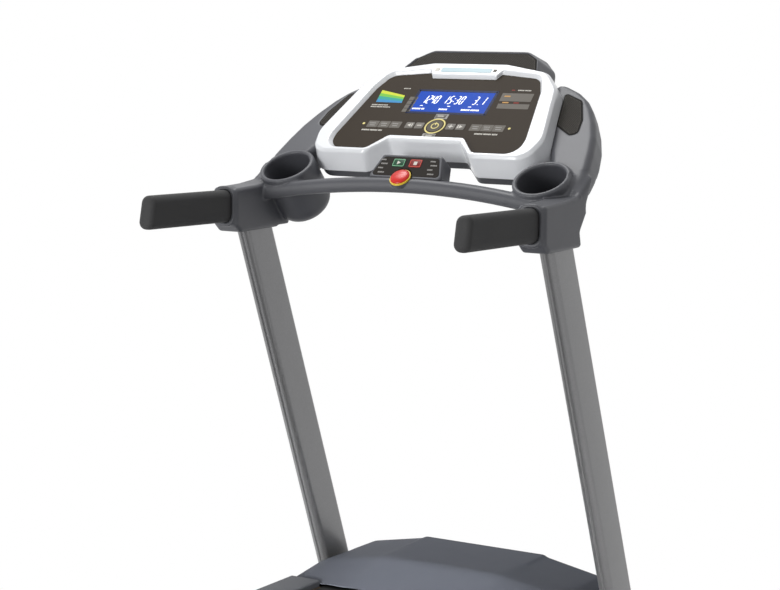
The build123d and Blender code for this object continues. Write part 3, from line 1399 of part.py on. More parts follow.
def drive_motor():
    """Drive motor: barrel with bevelled ends on a foot."""
    end = DRIVE_START_X + DRIVE_LENGTH
    barrel = cross_rod(DRIVE_Y, DRIVE_Z, DRIVE_RADIUS, DRIVE_START_X, end)
    barrel = chamfer(barrel.edges().filter_by(GeomType.CIRCLE), DRIVE_RADIUS / 12)
    foot = box_between(
        (DRIVE_START_X + MOTOR_FOOT_WIDTH / 2, DRIVE_Y - MOTOR_FOOT_WIDTH / 2, MOTOR_PLATE_TOP),
        (end - MOTOR_FOOT_WIDTH / 2, DRIVE_Y + MOTOR_FOOT_WIDTH / 2, DRIVE_Z - DRIVE_RADIUS / 2),
    )
    return barrel + foot - cross_rod(DRIVE_Y, DRIVE_Z, DRIVE_SHAFT_RADIUS + RUNNING_GAP, DRIVE_START_X, end)


def motor_shaft():
    """Motor shaft with its flywheel and small pulley."""
    end = PULLEY_START_X + PULLEY_WIDTH
    motor_end = DRIVE_START_X + DRIVE_LENGTH
    gap = (PULLEY_START_X - motor_end - FLYWHEEL_WIDTH) / 2
    shaft = cross_rod(DRIVE_Y, DRIVE_Z, DRIVE_SHAFT_RADIUS, DRIVE_START_X, end)
    wheel = cross_rod(DRIVE_Y, DRIVE_Z, FLYWHEEL_RADIUS, motor_end + gap, motor_end + gap + FLYWHEEL_WIDTH)
    return shaft + wheel + cross_rod(DRIVE_Y, DRIVE_Z, DRIVE_PULLEY_RADIUS, PULLEY_START_X, end)


def drive_belt():
    """Ribbed drive belt round both pulleys."""

    def loop(extra):
        ends = [
            Pos(FRONT_ROLLER_Y, ROLLER_Z) * Circle(ROLLER_PULLEY_RADIUS + SEAT_GAP + extra),
            Pos(DRIVE_Y, DRIVE_Z) * Circle(DRIVE_PULLEY_RADIUS + SEAT_GAP + extra),
        ]
        return make_hull(ends[0].edges() + ends[1].edges())

    return along_x(0, 0, PULLEY_START_X) * extrude(loop(DRIVE_BELT_THICK) - loop(0.0), PULLEY_WIDTH)


def control_board():
    """Motor controller: heat sink with upright fins."""
    base = Pos(HEATSINK_X, DRIVE_Y, MOTOR_PLATE_TOP + HEATSINK_BASE / 2) * Box(
        HEATSINK_WIDTH, HEATSINK_DEPTH, HEATSINK_BASE
    )
    pitch = HEATSINK_WIDTH / HEATSINK_FINS
    for index in range(HEATSINK_FINS):
        x = HEATSINK_X - HEATSINK_WIDTH / 2 + pitch * (index + 0.5)
        base += Pos(x, DRIVE_Y, MOTOR_PLATE_TOP + HEATSINK_HEIGHT / 2) * Box(
            pitch / 4, HEATSINK_DEPTH, HEATSINK_HEIGHT
        )
    return base


def speaker():
    """Right speaker under its grille."""
    top = WING_TOP - WING_WALL - SEAT_GAP
    frame = console(top - SPEAKER_DEPTH / 3) * Pos(SPEAKER_U, SPEAKER_V, 0) * extrude(
        Circle(SPEAKER_RADIUS), SPEAKER_DEPTH / 3
    )
    magnet = console(top - SPEAKER_DEPTH) * Pos(SPEAKER_U, SPEAKER_V, 0) * extrude(
        Circle(SPEAKER_RADIUS / 2), SPEAKER_DEPTH
    )
    return frame + magnet


NODES = {}


def build():
    """Make every piece once and write it."""
    os.makedirs("parts", exist_ok=True)
    NODES.update(
        base_frame=base_frame(),
        base_end_caps=base_end_caps(),
        floor_pads=floor_pads(),
        pivot_pins=pivot_pins(),
        left_transport_wheel=transport_wheel(-WHEEL_HALF_SPACING),
        right_transport_wheel=transport_wheel(WHEEL_HALF_SPACING),
        right_upright=upright(),
        left_upright=mirrored(upright()),
        upright_bolts=upright_bolts(),
        grip_bars=pair(grip_bar()),
        right_grip=grip(),
        left_grip=mirrored(grip()),
        right_housing=housing(),
        left_housing=mirrored(housing()),
        right_cup_holder=cup_holder(),
        left_cup_holder=mirrored(cup_holder()),
        crossbar=crossbar(),
        pod_body=pod_body(),
        pod_panel=pod_panel(),
        start_key=pod_key(START_U),
        stop_key=pod_key(STOP_U),
        safety_collar=safety_collar(),
        safety_key=safety_key(),
        console_bezel=console_bezel(),
        console_overlay=console_overlay(),
        lcd_window=lcd_window(),
        display_board=display_board(),
        console_shell=console_shell(),
        top_grille=top_grille(),
        side_grilles=pair(side_grille()),
        speakers=pair(speaker()),
        incline_frame=incline_frame(),
        fold_shaft=fold_shaft(),
        incline_motor=incline_motor(),
        incline_rod=incline_rod(),
        lock_plunger=lock_plunger(),
        deck_frame=deck_frame(),
        deck_board=deck_board(),
        deck_cushions=deck_cushions(),
        walking_belt=walking_belt(),
        front_roller=front_roller(),
        rear_roller=roller(REAR_ROLLER_Y),
        roller_axles=roller_axles(),
        rear_feet=rear_feet(),
        right_side_rail=side_rail(),
        left_side_rail=mirrored(side_rail()),
        end_caps=pair(end_cap()),
        hood_cover=hood_cover(),
        belly_pan=belly_pan(),
        drive_motor=drive_motor(),
        motor_shaft=motor_shaft(),
        drive_belt=drive_belt(),
        control_board=control_board(),
    )
    for name in key_places():
        NODES[name] = console_key(name)
    for name, shape in NODES.items():
        export_step(shape, f"parts/{name}.step")


build()
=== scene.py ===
"""Looks of a folding treadmill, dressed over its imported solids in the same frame."""

import json
import logging
import math
from collections.abc import Iterable, Sequence
from dataclasses import dataclass
from enum import Enum
from functools import lru_cache

import bmesh
import bpy
from bmesh.types import BMEdge, BMesh, BMVert
from bpy.types import Material, Mesh, Node, NodeSocket, NodeTree, Object
from mathutils import Matrix, Vector


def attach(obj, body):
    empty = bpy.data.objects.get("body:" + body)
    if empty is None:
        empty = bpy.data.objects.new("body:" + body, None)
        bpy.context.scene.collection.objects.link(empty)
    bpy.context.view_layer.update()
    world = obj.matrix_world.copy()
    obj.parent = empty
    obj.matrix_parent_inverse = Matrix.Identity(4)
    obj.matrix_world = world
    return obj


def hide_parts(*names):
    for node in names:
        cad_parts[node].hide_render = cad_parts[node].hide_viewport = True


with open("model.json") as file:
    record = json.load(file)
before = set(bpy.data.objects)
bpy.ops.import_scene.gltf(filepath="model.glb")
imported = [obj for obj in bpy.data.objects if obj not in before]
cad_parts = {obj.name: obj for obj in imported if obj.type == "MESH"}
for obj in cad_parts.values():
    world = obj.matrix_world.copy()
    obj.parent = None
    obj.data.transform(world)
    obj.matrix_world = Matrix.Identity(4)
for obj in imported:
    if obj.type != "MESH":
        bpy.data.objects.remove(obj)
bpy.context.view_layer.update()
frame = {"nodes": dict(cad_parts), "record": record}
NODES = frame["nodes"]
BODY_OF = {node: body for body, nodes in frame["record"]["behaviour"]["bodies"].items() for node in nodes}
SLOT_OF = {part["node"]: part["material_slot"] for part in frame["record"]["subparts"]}

MM = 0.001
BROAD_MM = 70.0
WAVE_TURN = math.tau / 20
MERGE = 2e-6
SPIN_MERGE = 1e-4
SHARP_ANGLE = math.radians(32)
FLAT_ANGLE = math.radians(0.5)
ALL_SMOOTH = math.radians(180)
SMOOTH_STEP = 0.5
EDGE_SEGMENTS = 2
CORNER_SEGMENTS = 5
DISC_SIDES = 40

# Printed marks and keys, in mm over their face: top and hidden foot of the ink, and top of a key
INK_TOP = 0.25
INK_SUNK = 0.1
KEY_TOP = 1.0

# Print too small to read: widths and gaps of its blocks as shares of their height, and blocks in a word
BLOCK_WIDTHS = (0.62, 0.48, 0.7, 0.55, 0.4)
BLOCK_GAP = 0.22
WORD_GAP = 0.6
WORD_BLOCKS = 6

# Perforated sheet: thickness in mm, and shares of the pitch for its webs and of a cell's area for whole cells
SHEET_THICK = 0.8
SHEET_WEB = 0.2
WHOLE_CELL = 0.98
SHEET_TURN = math.radians(45)

Two = tuple[float, float]
Three = tuple[float, float, float]
Four = tuple[float, float, float, float]
Outline = Sequence[Two]
DRESSED: set[str] = set()
log = logging.getLogger("treadmill")


class Surface(Enum):
    """How a surface was made, which sets the pattern that its nodes draw."""

    MOULDED = "eroded mould texture"
    POLISHED = "polished mould"
    FILM = "printed film"
    FLAKE = "metal flake paint"
    POWDER = "powder coat"
    TURNED = "turned on a lathe"
    FOAM = "skinned foam"
    WOVEN = "woven cover"
    FIBRE = "pressed fibre"


class Fit(Enum):
    """How a smooth skin is laid over solids."""

    SOLID = "keeps every wall"
    SHELL = "keeps the outer skin alone"


def linear(code: str) -> Four:
    """Turns an sRGB colour to linear light.

    Args:
        code: six hex digits.

    Returns:
        Linear red, green and blue with a full alpha.
    """
    channels = [int(code[i : i + 2], 16) / 255 for i in (0, 2, 4)]
    light = [c / 12.92 if c <= 0.04045 else ((c + 0.055) / 1.055) ** 2.4 for c in channels]
    return (*light, 1.0)


def add(tree: NodeTree, kind: str, inputs: dict | None = None, **settings) -> Node:
    """Adds a node with its settings, and sets or links its inputs.

    Args:
        tree: node tree that takes the node.
        kind: shader node type, without its common prefix.
        inputs: socket name or place to a value, or to the socket that feeds it.
        settings: properties of the node.

    Returns:
        The new node.
    """
    node = tree.nodes.new(f"ShaderNode{kind}")
    for name, value in settings.items():
        setattr(node, name, value)
    for socket, value in (inputs or {}).items():
        if isinstance(value, NodeSocket):
            tree.links.new(value, node.inputs[socket])
        else:
            node.inputs[socket].default_value = value
    return node


@dataclass(frozen=True)
class Finish:
    """One real material: colours, pattern size and relief in mm, and how it shines."""

    name: str
    colour: str
    shade: str
    surface: Surface
    grain: float
    relief: float
    roughness: Two
    metallic: float = 0.0
    ior: float = 1.5
    specular: float = 0.5
    coat: float = 0.0
    sheen: float = 0.0
    glow: float = 0.0

    def pattern(self, tree: NodeTree) -> tuple[NodeSocket, NodeSocket]:
        """Draws the surface's pattern.

        Args:
            tree: node tree of the material.

        Returns:
            The sockets of relief and of tone.
        """
        place = add(tree, "TexCoord").outputs["Object"]
        scale = 1 / (self.grain * MM)
        clouds = {"Vector": place, "Scale": 1 / (BROAD_MM * MM), "Detail": 4.0}
        broad = add(tree, "TexNoise", clouds).outputs["Fac"]
        if self.surface is Surface.WOVEN:
            threads = {"Vector": place, "Scale": scale * WAVE_TURN, "Distortion": 0.6}
            warp = add(tree, "TexWave", threads, bands_direction="X").outputs["Fac"]
            weft = add(tree, "TexWave", threads, bands_direction="Y").outputs["Fac"]
            return add(tree, "Math", {0: warp, 1: weft}, operation="MULTIPLY").outputs[0], broad
        if self.surface in (Surface.FLAKE, Surface.FOAM):
            cells = add(tree, "TexVoronoi", {"Vector": place, "Scale": scale}).outputs
            return (broad, cells["Color"]) if self.surface is Surface.FLAKE else (cells["Distance"], broad)
        drawn = {Surface.TURNED: (1.0, 0.02, 0.02), Surface.FIBRE: (1.0, 0.08, 1.0)}
        stretch = drawn.get(self.surface, (1.0, 1.0, 1.0))
        place = add(tree, "Mapping", {"Vector": place, "Scale": stretch}).outputs[0]
        grain = add(tree, "TexNoise", {"Vector": place, "Scale": scale, "Detail": 2.0})
        return grain.outputs["Fac"], broad


@lru_cache(maxsize=None)
def material_of(finish: Finish) -> Material:
    """Makes the material of a finish once.

    Args:
        finish: the finish.

    Returns:
        Its node material.
    """
    material = bpy.data.materials.new(finish.name)
    material.use_nodes = True
    tree = material.node_tree
    shader = tree.nodes["Principled BSDF"]
    plain = {
        "Metallic": finish.metallic, "IOR": finish.ior, "Specular IOR Level": finish.specular,
        "Coat Weight": finish.coat, "Sheen Weight": finish.sheen,
    }
    for socket, value in plain.items():
        shader.inputs[socket].default_value = value
    relief, tone = finish.pattern(tree)
    colours = {0: tone, 6: linear(finish.colour), 7: linear(finish.shade)}
    colour = add(tree, "Mix", colours, data_type="RGBA").outputs[2]
    low, high = finish.roughness
    rough = add(tree, "MapRange", {"Value": relief, "To Min": low, "To Max": high}).outputs[0]
    bump = add(tree, "Bump", {"Height": relief, "Distance": finish.relief * MM, "Strength": 1.0})
    tree.links.new(colour, shader.inputs["Base Color"])
    tree.links.new(rough, shader.inputs["Roughness"])
    tree.links.new(bump.outputs[0], shader.inputs["Normal"])
    if finish.glow:
        shader.inputs["Emission Color"].default_value = linear(finish.colour)
        shader.inputs["Emission Strength"].default_value = finish.glow
    return material


def screen_ink(word: str, colour: str, shade: str) -> Finish:
    """Ink printed on a film: flat matt colour with the film's stipple."""
    return Finish(f"{word}_screen_ink", colour, shade, Surface.FILM, 1.0, 0.01, (0.5, 0.62), specular=0.06)


# ABS in a spark-eroded mould: satin with a fine even grain, drawn at 1.4 mm as its real 0.2 mm can't show
SLATE = Finish(
    "slate_abs_eroded", "54555A", "4E4F54", Surface.MOULDED, 1.4, 0.05, (0.38, 0.5), specular=0.42
)
# The same ABS, bluer, on the motor hood
HOOD = Finish("hood_abs_eroded", "5A5D65", "54575F", Surface.MOULDED, 1.6, 0.05, (0.5, 0.64), specular=0.06)
# White ABS from a polished mould: clean gloss with a very faint waviness
WHITE_ABS = Finish(
    "white_abs_polished", "EEF0F3", "E9EBEF", Surface.POLISHED, 26.0, 0.02, (0.16, 0.24), coat=0.2
)
# Polyester film printed on its back in warm brown: even colour under a fine satin stipple
BROWN_FILM = Finish(
    "brown_polyester_film", "3C352D", "373029", Surface.FILM, 1.0, 0.01, (0.48, 0.6), specular=0.06
)
# Darker film on the pod
POD_FILM = Finish(
    "dark_polyester_film", "33302D", "2E2B28", Surface.FILM, 1.0, 0.01, (0.48, 0.6), specular=0.06
)
GREY_INK = screen_ink("grey", "75716B", "6E6A64")
LIGHT_GREY_INK = screen_ink("light_grey", "A5A3A0", "9C9A97")
PALE_INK = screen_ink("pale", "D9D6CE", "D0CDC5")
CREAM_INK = screen_ink("cream", "EBDD96", "E3D58E")
LIME_INK = screen_ink("lime", "D3DC4E", "C9D248")
LEAF_INK = screen_ink("leaf", "7FC457", "78BB52")
TEAL_INK = screen_ink("teal", "48A79B", "449F94")
SKY_INK = screen_ink("sky", "4F93C6", "4A8CBD")
ORANGE_INK = screen_ink("orange", "CDA066", "C4985F")
GREEN_LINE = screen_ink("green", "8FC7A0", "88BE99")
RED_LINE = screen_ink("coral", "D9675C", "CF6056")
RED_INK = screen_ink("red", "8E4640", "87413B")
# Acrylic window over a lit liquid crystal display: deep even blue that glows a little, glossy
DISPLAY = Finish(
    "blue_lit_display", "1A49B2", "1743A6", Surface.POLISHED, 40.0, 0.0, (0.3, 0.4), specular=0.04, glow=0.12
)
NAVY = Finish("navy_window_border", "1E2748", "1A2240", Surface.FILM, 1.0, 0.01, (0.3, 0.4), specular=0.06)
DIGITS = Finish("white_lit_segments", "F4F7FF", "EEF2FC", Surface.FILM, 1.0, 0.0, (0.3, 0.4), glow=0.4)
ICE = Finish("ice_blue_strip", "AFC7CE", "A8C0C8", Surface.POLISHED, 20.0, 0.01, (0.3, 0.4), specular=0.3)
# Silicone keys: matt and even
KEY = Finish("grey_silicone_key", "7B7771", "74706B", Surface.MOULDED, 1.2, 0.02, (0.5, 0.64), specular=0.2)
ROUND_KEY = Finish(
    "dark_silicone_key", "4A4439", "443E34", Surface.MOULDED, 1.2, 0.02, (0.44, 0.58), specular=0.2
)
START = Finish("green_key_film", "27503A", "234834", Surface.FILM, 1.0, 0.01, (0.4, 0.52), specular=0.2)
STOP = Finish("red_key_film", "7E2A27", "762623", Surface.FILM, 1.0, 0.01, (0.4, 0.52), specular=0.2)
# ABS safety key and its collar: bright moulded gloss
SAFETY_RED = Finish(
    "red_abs_polished", "D4241A", "C91F16", Surface.POLISHED, 12.0, 0.02, (0.24, 0.34), specular=0.4
)
SAFETY_YELLOW = Finish(
    "yellow_abs_polished", "F0D040", "E8C739", Surface.POLISHED, 12.0, 0.02, (0.28, 0.38), specular=0.4
)
# Foam sleeve with a closed skin: soft satin, tiny cells
FOAM = Finish(
    "black_nitrile_foam", "454545", "3E3E3F", Surface.FOAM, 1.6, 0.12, (0.6, 0.76), specular=0.15, sheen=0.05
)
# Steel tube in silver paint with metal flakes: fine sparkle under a clear coat, flakes drawn at 1 mm
SILVER = Finish(
    "silver_flake_paint", "868687", "767677", Surface.FLAKE, 1.0, 0.02, (0.3, 0.38), metallic=0.6, coat=0.1
)
# Steel in black powder coat: faint orange peel
POWDER = Finish(
    "black_powder_coat", "232325", "1D1D1F", Surface.POWDER, 1.8, 0.08, (0.46, 0.62), specular=0.3
)
# Turned steel: fine rings round the axis
STEEL = Finish("turned_steel", "B4B4B4", "A4A4A4", Surface.TURNED, 0.8, 0.01, (0.22, 0.38), metallic=1.0)
# Polyvinyl belt cover: small woven diamonds, drawn at 3 mm
BELT = Finish("black_vinyl_belt", "1C1C1C", "151515", Surface.WOVEN, 3.0, 0.25, (0.55, 0.72), specular=0.25)
# Polypropylene in a grained mould: dull satin
RAIL = Finish(
    "grey_polypropylene", "5B5D62", "53555A", Surface.MOULDED, 1.6, 0.08, (0.46, 0.62), specular=0.3
)
BLACK_PP = Finish(
    "black_polypropylene", "2A2A2C", "232325", Surface.MOULDED, 1.6, 0.08, (0.46, 0.62), specular=0.3
)
# Moulded rubber: dull, a little coarse
RUBBER = Finish("black_rubber", "1C1C1C", "161616", Surface.MOULDED, 2.0, 0.08, (0.66, 0.82), specular=0.25)
# Fibreboard with a waxed face: brown with long pressed fibres
BOARD = Finish("waxed_fibreboard", "5A4631", "4C3A28", Surface.FIBRE, 2.0, 0.05, (0.5, 0.66), specular=0.3)
# Aluminium straight from the die: fine lines along it
ALUMINIUM = Finish(
    "extruded_aluminium", "B9BBBD", "A9ABAD", Surface.TURNED, 1.2, 0.02, (0.3, 0.45), metallic=1.0
)
# Green solder mask on a circuit board: glossy lacquer
SOLDER_MASK = Finish("green_solder_mask", "1D5A34", "184D2C", Surface.FILM, 1.5, 0.02, (0.28, 0.42))
# Perforated steel in dark paint over black acoustic cloth
GRILLE = Finish(
    "dark_perforated_steel", "45423E", "3F3C38", Surface.POWDER, 1.6, 0.04, (0.5, 0.66), specular=0.08
)
GRILLE_BACK = Finish(
    "black_acoustic_cloth", "2C2B29", "252422", Surface.WOVEN, 2.0, 0.1, (0.75, 0.9), specular=0.1
)

# Finishes of the nodes that are dressed as they are
SLOT_FINISH = {
    "grille_dark": GRILLE_BACK, "frame_black": POWDER, "bright_steel": STEEL, "belt_black": BELT,
    "rail_grey": RAIL, "cap_black": BLACK_PP, "board_wood": BOARD, "rubber_black": RUBBER,
    "motor_black": POWDER, "heatsink_aluminium": ALUMINIUM, "circuit_green": SOLDER_MASK,
    "speaker_black": BLACK_PP,
}


@dataclass(frozen=True)
class Face:
    """A tilted face that flat pieces lie on: u across, v up it and a lift off it, in mm."""

    y: float
    z: float
    tilt: float

    def matrix(self) -> Matrix:
        """Place of the face, from its mm to metres."""
        turn = Matrix.Rotation(math.radians(self.tilt), 4, "X")
        return Matrix.Translation((0, self.y * MM, self.z * MM)) @ turn @ Matrix.Scale(MM, 4)


CONSOLE_FACE = Face(561.0, 1260.0, 38.0)
POD_FACE = Face(454.8, 1174.7, 49.9)
SAFETY_FACE = Face(455.4, 1175.5, 38.0)


def finished(obj: Object, finish: Finish, body: str, nodes: Iterable[str] = ()) -> None:
    """Dresses a piece, puts it on its body and reports it.

    Args:
        obj: the piece.
        finish: its finish.
        body: the body it rides on.
        nodes: nodes of the frame that it stands for.
    """
    obj.data.materials.clear()
    obj.data.materials.append(material_of(finish))
    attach(obj, body)
    if nodes:
        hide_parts(*nodes)
        DRESSED.update(nodes)
    log.info("%s: %d faces, %s", obj.name, len(obj.data.polygons), finish.name)


def placed(name: str, mesh: Mesh, angle: float = SHARP_ANGLE) -> Object:
    """Links a mesh as a smooth shaded object.

    Args:
        name: name of the piece.
        mesh: its mesh.
        angle: edges sharper than this stay crisp.

    Returns:
        The object.
    """
    mesh.shade_smooth()
    mesh.set_sharp_from_angle(angle=angle)
    obj = bpy.data.objects.new(name, mesh)
    bpy.context.scene.collection.objects.link(obj)
    return obj


def to_mesh(name: str, bm: BMesh) -> Mesh:
    """Turns a bmesh into a mesh and frees it.

    Args:
        name: name of the mesh.
        bm: the bmesh.

    Returns:
        The mesh.
    """
    mesh = bpy.data.meshes.new(name)
    bm.to_mesh(mesh)
    bm.free()
    return mesh


def merged_copy(nodes: Iterable[str]) -> BMesh:
    """Copies nodes of the frame into one bmesh with their corners merged.

    Args:
        nodes: names of the nodes.

    Returns:
        The bmesh.
    """
    bm = bmesh.new()
    for node in nodes:
        bm.from_mesh(NODES[node].data)
    bmesh.ops.remove_doubles(bm, verts=bm.verts, dist=MERGE)
    return bm


def applied(obj: Object) -> Mesh:
    """Applies an object's modifiers and removes the object.

    Args:
        obj: the object.

    Returns:
        The mesh that it leaves.
    """
    mesh = bpy.data.meshes.new_from_object(obj.evaluated_get(bpy.context.evaluated_depsgraph_get()))
    bpy.data.objects.remove(obj)
    return mesh


def outer_shell(mesh: Mesh) -> Mesh:
    """Removes every loose shell but the largest, such as the walls of closed rooms.

    Args:
        mesh: the mesh.

    Returns:
        The mesh of the largest shell.
    """
    bm = bmesh.new()
    bm.from_mesh(mesh)
    left = set(bm.verts)
    shells = []
    while left:
        shell, edge = set(), [left.pop()]
        while edge:
            vert = edge.pop()
            shell.add(vert)
            for link in vert.link_edges:
                other = link.other_vert(vert)
                if other in left:
                    left.remove(other)
                    edge.append(other)
        shells.append(shell)
    shells.sort(key=len)
    for shell in shells[:-1]:
        bmesh.ops.delete(bm, geom=list(shell), context="VERTS")
    return to_mesh(mesh.name, bm)


@dataclass(frozen=True)
class Zone:
    """Box of the frame, as two corners in mm, in which a skin is rounded further."""

    low: Three
    high: Three
    rounds: int

    def soften(self, obj: Object) -> None:
        """Rounds the part of a skin inside the box; what lies outside stays.

        Args:
            obj: the skin.
        """
        bounds = [(a * MM, b * MM) for a, b in zip(self.low, self.high)]
        inside = [v.index for v in obj.data.vertices if all(a < c < b for (a, b), c in zip(bounds, v.co))]
        group = obj.vertex_groups.new(name="blend")
        group.add(inside, 1.0, "REPLACE")
        smooth = obj.modifiers.new("blend", "SMOOTH")
        smooth.vertex_group = group.name
        smooth.factor = SMOOTH_STEP
        smooth.iterations = self.rounds


@dataclass(frozen=True)
class Skin:
    """Smooth moulding laid over solids: cells in mm, rounds of smoothing and most triangles."""

    voxel: float
    rounds: int
    most: int = 150_000
    fit: Fit = Fit.SOLID
    zones: tuple[Zone, ...] = ()

    def over(self, name: str, *nodes: str) -> Object:
        """Lays the skin, with soft edges and blends.

        Args:
            name: name of the piece.
            nodes: nodes that it covers.

        Returns:
            The object.
        """
        obj = placed(name, to_mesh(name, merged_copy(nodes)))
        remesh = obj.modifiers.new("skin", "REMESH")
        remesh.mode = "VOXEL"
        remesh.voxel_size = self.voxel * MM
        smooth = obj.modifiers.new("soften", "SMOOTH")
        smooth.factor = SMOOTH_STEP
        smooth.iterations = self.rounds
        mesh = applied(obj)
        if self.fit is Fit.SHELL:
            mesh = outer_shell(mesh)
        if self.zones:
            obj = placed(name, mesh)
            for zone in self.zones:
                zone.soften(obj)
            mesh = applied(obj)
        triangles = 2 * len(mesh.polygons)
        if triangles > self.most:
            obj = placed(name, mesh)
            thin = obj.modifiers.new("thin", "DECIMATE")
            thin.ratio = self.most / triangles
            mesh = applied(obj)
        mesh.name = name
        return placed(name, mesh, ALL_SMOOTH)


def crisp(name: str, nodes: Sequence[str], edge: float) -> Object:
    """Copies rigid nodes with clean faces and a small rounded edge that catches the light.

    Args:
        name: name of the piece.
        nodes: nodes that it covers.
        edge: width of the rounded edge in mm.

    Returns:
        The object.
    """
    bm = merged_copy(nodes)
    bmesh.ops.dissolve_limit(bm, angle_limit=FLAT_ANGLE, verts=bm.verts, edges=bm.edges)
    obj = placed(name, to_mesh(name, bm))
    if edge:
        bevel = obj.modifiers.new("edge", "BEVEL")
        bevel.width = edge * MM
        bevel.segments = EDGE_SEGMENTS
        bevel.limit_method = "ANGLE"
        bevel.angle_limit = SHARP_ANGLE
        bevel.harden_normals = True
        bevel.use_clamp_overlap = True
    return obj


def bordered(outer: Sequence[float], inner: Sequence[float]) -> list[Outline]:
    """Strips that fill a rectangle round a hole in it.

    Args:
        outer: middle, width and height of the rectangle.
        inner: middle, width and height of the hole.

    Returns:
        Outlines of the four strips.
    """
    (left, low, right, top), (west, south, east, north) = [
        (u - wide / 2, v - high / 2, u + wide / 2, v + high / 2) for u, v, wide, high in (outer, inner)
    ]
    sides = [(left, low, west, top), (east, low, right, top)]
    spans = [*sides, (west, low, east, south), (west, north, east, top)]
    return [box((a + c) / 2, (b + d) / 2, c - a, d - b) for a, b, c, d in spans]


def box(u: float, v: float, width: float, height: float) -> Outline:
    """Corners of a rectangle round a middle."""
    return [(u + i * width / 2, v + j * height / 2) for i, j in ((-1, -1), (1, -1), (1, 1), (-1, 1))]


def plates(
    outlines: Iterable[Outline], low: float, high: float, radius: float = 0.0, window: float = 0.0
) -> BMesh:
    """Thin flat plates from their outlines, in the mm of a face.

    Args:
        outlines: corners of each plate.
        low: underside over the face.
        high: top over the face.
        radius: radius of the corners.
        window: width of the band that is left when the middle is cut out, or 0 for full plates.

    Returns:
        The bmesh.
    """
    bm = bmesh.new()
    for corners in outlines:
        bm.faces.new([bm.verts.new((u, v, low)) for u, v in corners])
    if radius:
        rounding = {"segments": CORNER_SEGMENTS, "profile": 0.5, "affect": "VERTICES", "material": -1}
        bmesh.ops.bevel(bm, geom=bm.verts[:], offset=radius, **rounding)
    if window:
        bm.normal_update()
        middles = list(bm.faces)
        bmesh.ops.inset_individual(bm, faces=middles, thickness=window, use_even_offset=True)
        bmesh.ops.delete(bm, geom=middles, context="FACES")
    grown = bmesh.ops.extrude_face_region(bm, geom=bm.faces[:])["geom"]
    tops = [item for item in grown if isinstance(item, BMVert)]
    bmesh.ops.translate(bm, verts=tops, vec=(0, 0, high - low))
    bmesh.ops.recalc_face_normals(bm, faces=bm.faces)
    return bm


def discs(spots: Iterable[Two], radius: float, low: float, high: float, hole: float = 0.0) -> BMesh:
    """Thin round plates or rings, in the mm of a face.

    Args:
        spots: middles.
        radius: outer radius.
        low: underside over the face.
        high: top over the face.
        hole: radius of the hole, or 0 for full discs.

    Returns:
        The bmesh.
    """
    turns = [math.tau * i / DISC_SIDES for i in range(DISC_SIDES)]
    rounds = [[(u + radius * math.cos(a), v + radius * math.sin(a)) for a in turns] for u, v in spots]
    return plates(rounds, low, high, window=radius - hole if hole else 0.0)


def laid(name: str, bm: BMesh, face: Face) -> Object:
    """Lays a bmesh drawn in the mm of a face onto that face as a piece."""
    bmesh.ops.transform(bm, matrix=face.matrix(), verts=bm.verts)
    return placed(name, to_mesh(name, bm))


def word_marks(u: float, v: float, length: float, height: float) -> list[Outline]:
    """Row of small plain blocks where the real face carries small print.

    Args:
        u: left end.
        v: middle height.
        length: length of the row.
        height: height of the blocks.

    Returns:
        Outlines of the blocks.
    """
    marks, place, step = [], u, 0
    while place < u + length:
        width = height * BLOCK_WIDTHS[step % len(BLOCK_WIDTHS)]
        marks.append(box(place + width / 2, v, width, height))
        gap = WORD_GAP if step % WORD_BLOCKS == WORD_BLOCKS - 1 else BLOCK_GAP
        place += width + height * gap
        step += 1
    return marks


def cut_off(bm: BMesh, point: Three, normal: Three) -> list[BMVert | BMEdge]:
    """Cuts away what lies beyond a plane, and gives the corners and edges of the cut."""
    plane = {"plane_co": point, "plane_no": normal, "clear_outer": True}
    return bmesh.ops.bisect_plane(bm, geom=bm.verts[:] + bm.edges[:] + bm.faces[:], **plane)["geom_cut"]


def perforated(outline: Outline, lift: float, pitch: float) -> BMesh:
    """Perforated sheet inside a convex outline.

    Args:
        outline: corners of the sheet, in order against the clock.
        lift: underside over the face.
        pitch: spacing of the holes in mm.

    Returns:
        The bmesh, in the mm of the face.
    """
    us, vs = [u for u, _ in outline], [v for _, v in outline]
    reach = max(max(us) - min(us), max(vs) - min(vs))
    count = int(reach / pitch) + 2
    bm = bmesh.new()
    bmesh.ops.create_grid(bm, x_segments=count, y_segments=count, size=count * pitch / 2)
    middle = Vector(((max(us) + min(us)) / 2, (max(vs) + min(vs)) / 2, lift))
    turn = Matrix.Rotation(SHEET_TURN, 4, "Z")
    bmesh.ops.transform(bm, matrix=Matrix.Translation(middle) @ turn, verts=bm.verts)
    for (u0, v0), (u1, v1) in zip(outline, (*outline[1:], outline[0])):
        cut_off(bm, (u0, v0, lift), (v1 - v0, u0 - u1, 0))
    whole = [f for f in bm.faces if f.calc_area() > WHOLE_CELL * pitch**2]
    bmesh.ops.inset_individual(bm, faces=whole, thickness=SHEET_WEB * pitch, use_even_offset=True)
    bmesh.ops.delete(bm, geom=whole, context="FACES")
    bmesh.ops.recalc_face_normals(bm, faces=bm.faces)
    bmesh.ops.solidify(bm, geom=bm.faces[:], thickness=SHEET_THICK)
    return bm


@dataclass(frozen=True)
class Lamp:
    """Square soft box: place, aim and side in metres, power in watts and beam in degrees."""

    name: str
    place: Three
    aim: Three
    size: float
    power: float
    beam: float = 180.0
    glossy: bool = True

    def hang(self) -> None:
        """Adds the lamp; one that isn't glossy leaves no glare on what it lights."""
        light = bpy.data.lights.new(self.name, "AREA")
        light.size = self.size
        light.energy = self.power
        light.spread = math.radians(self.beam)
        obj = bpy.data.objects.new(self.name, light)
        obj.location = self.place
        obj.rotation_euler = (Vector(self.aim) - Vector(self.place)).to_track_quat("-Z", "Y").to_euler()
        obj.visible_glossy = self.glossy
        bpy.context.scene.collection.objects.link(obj)


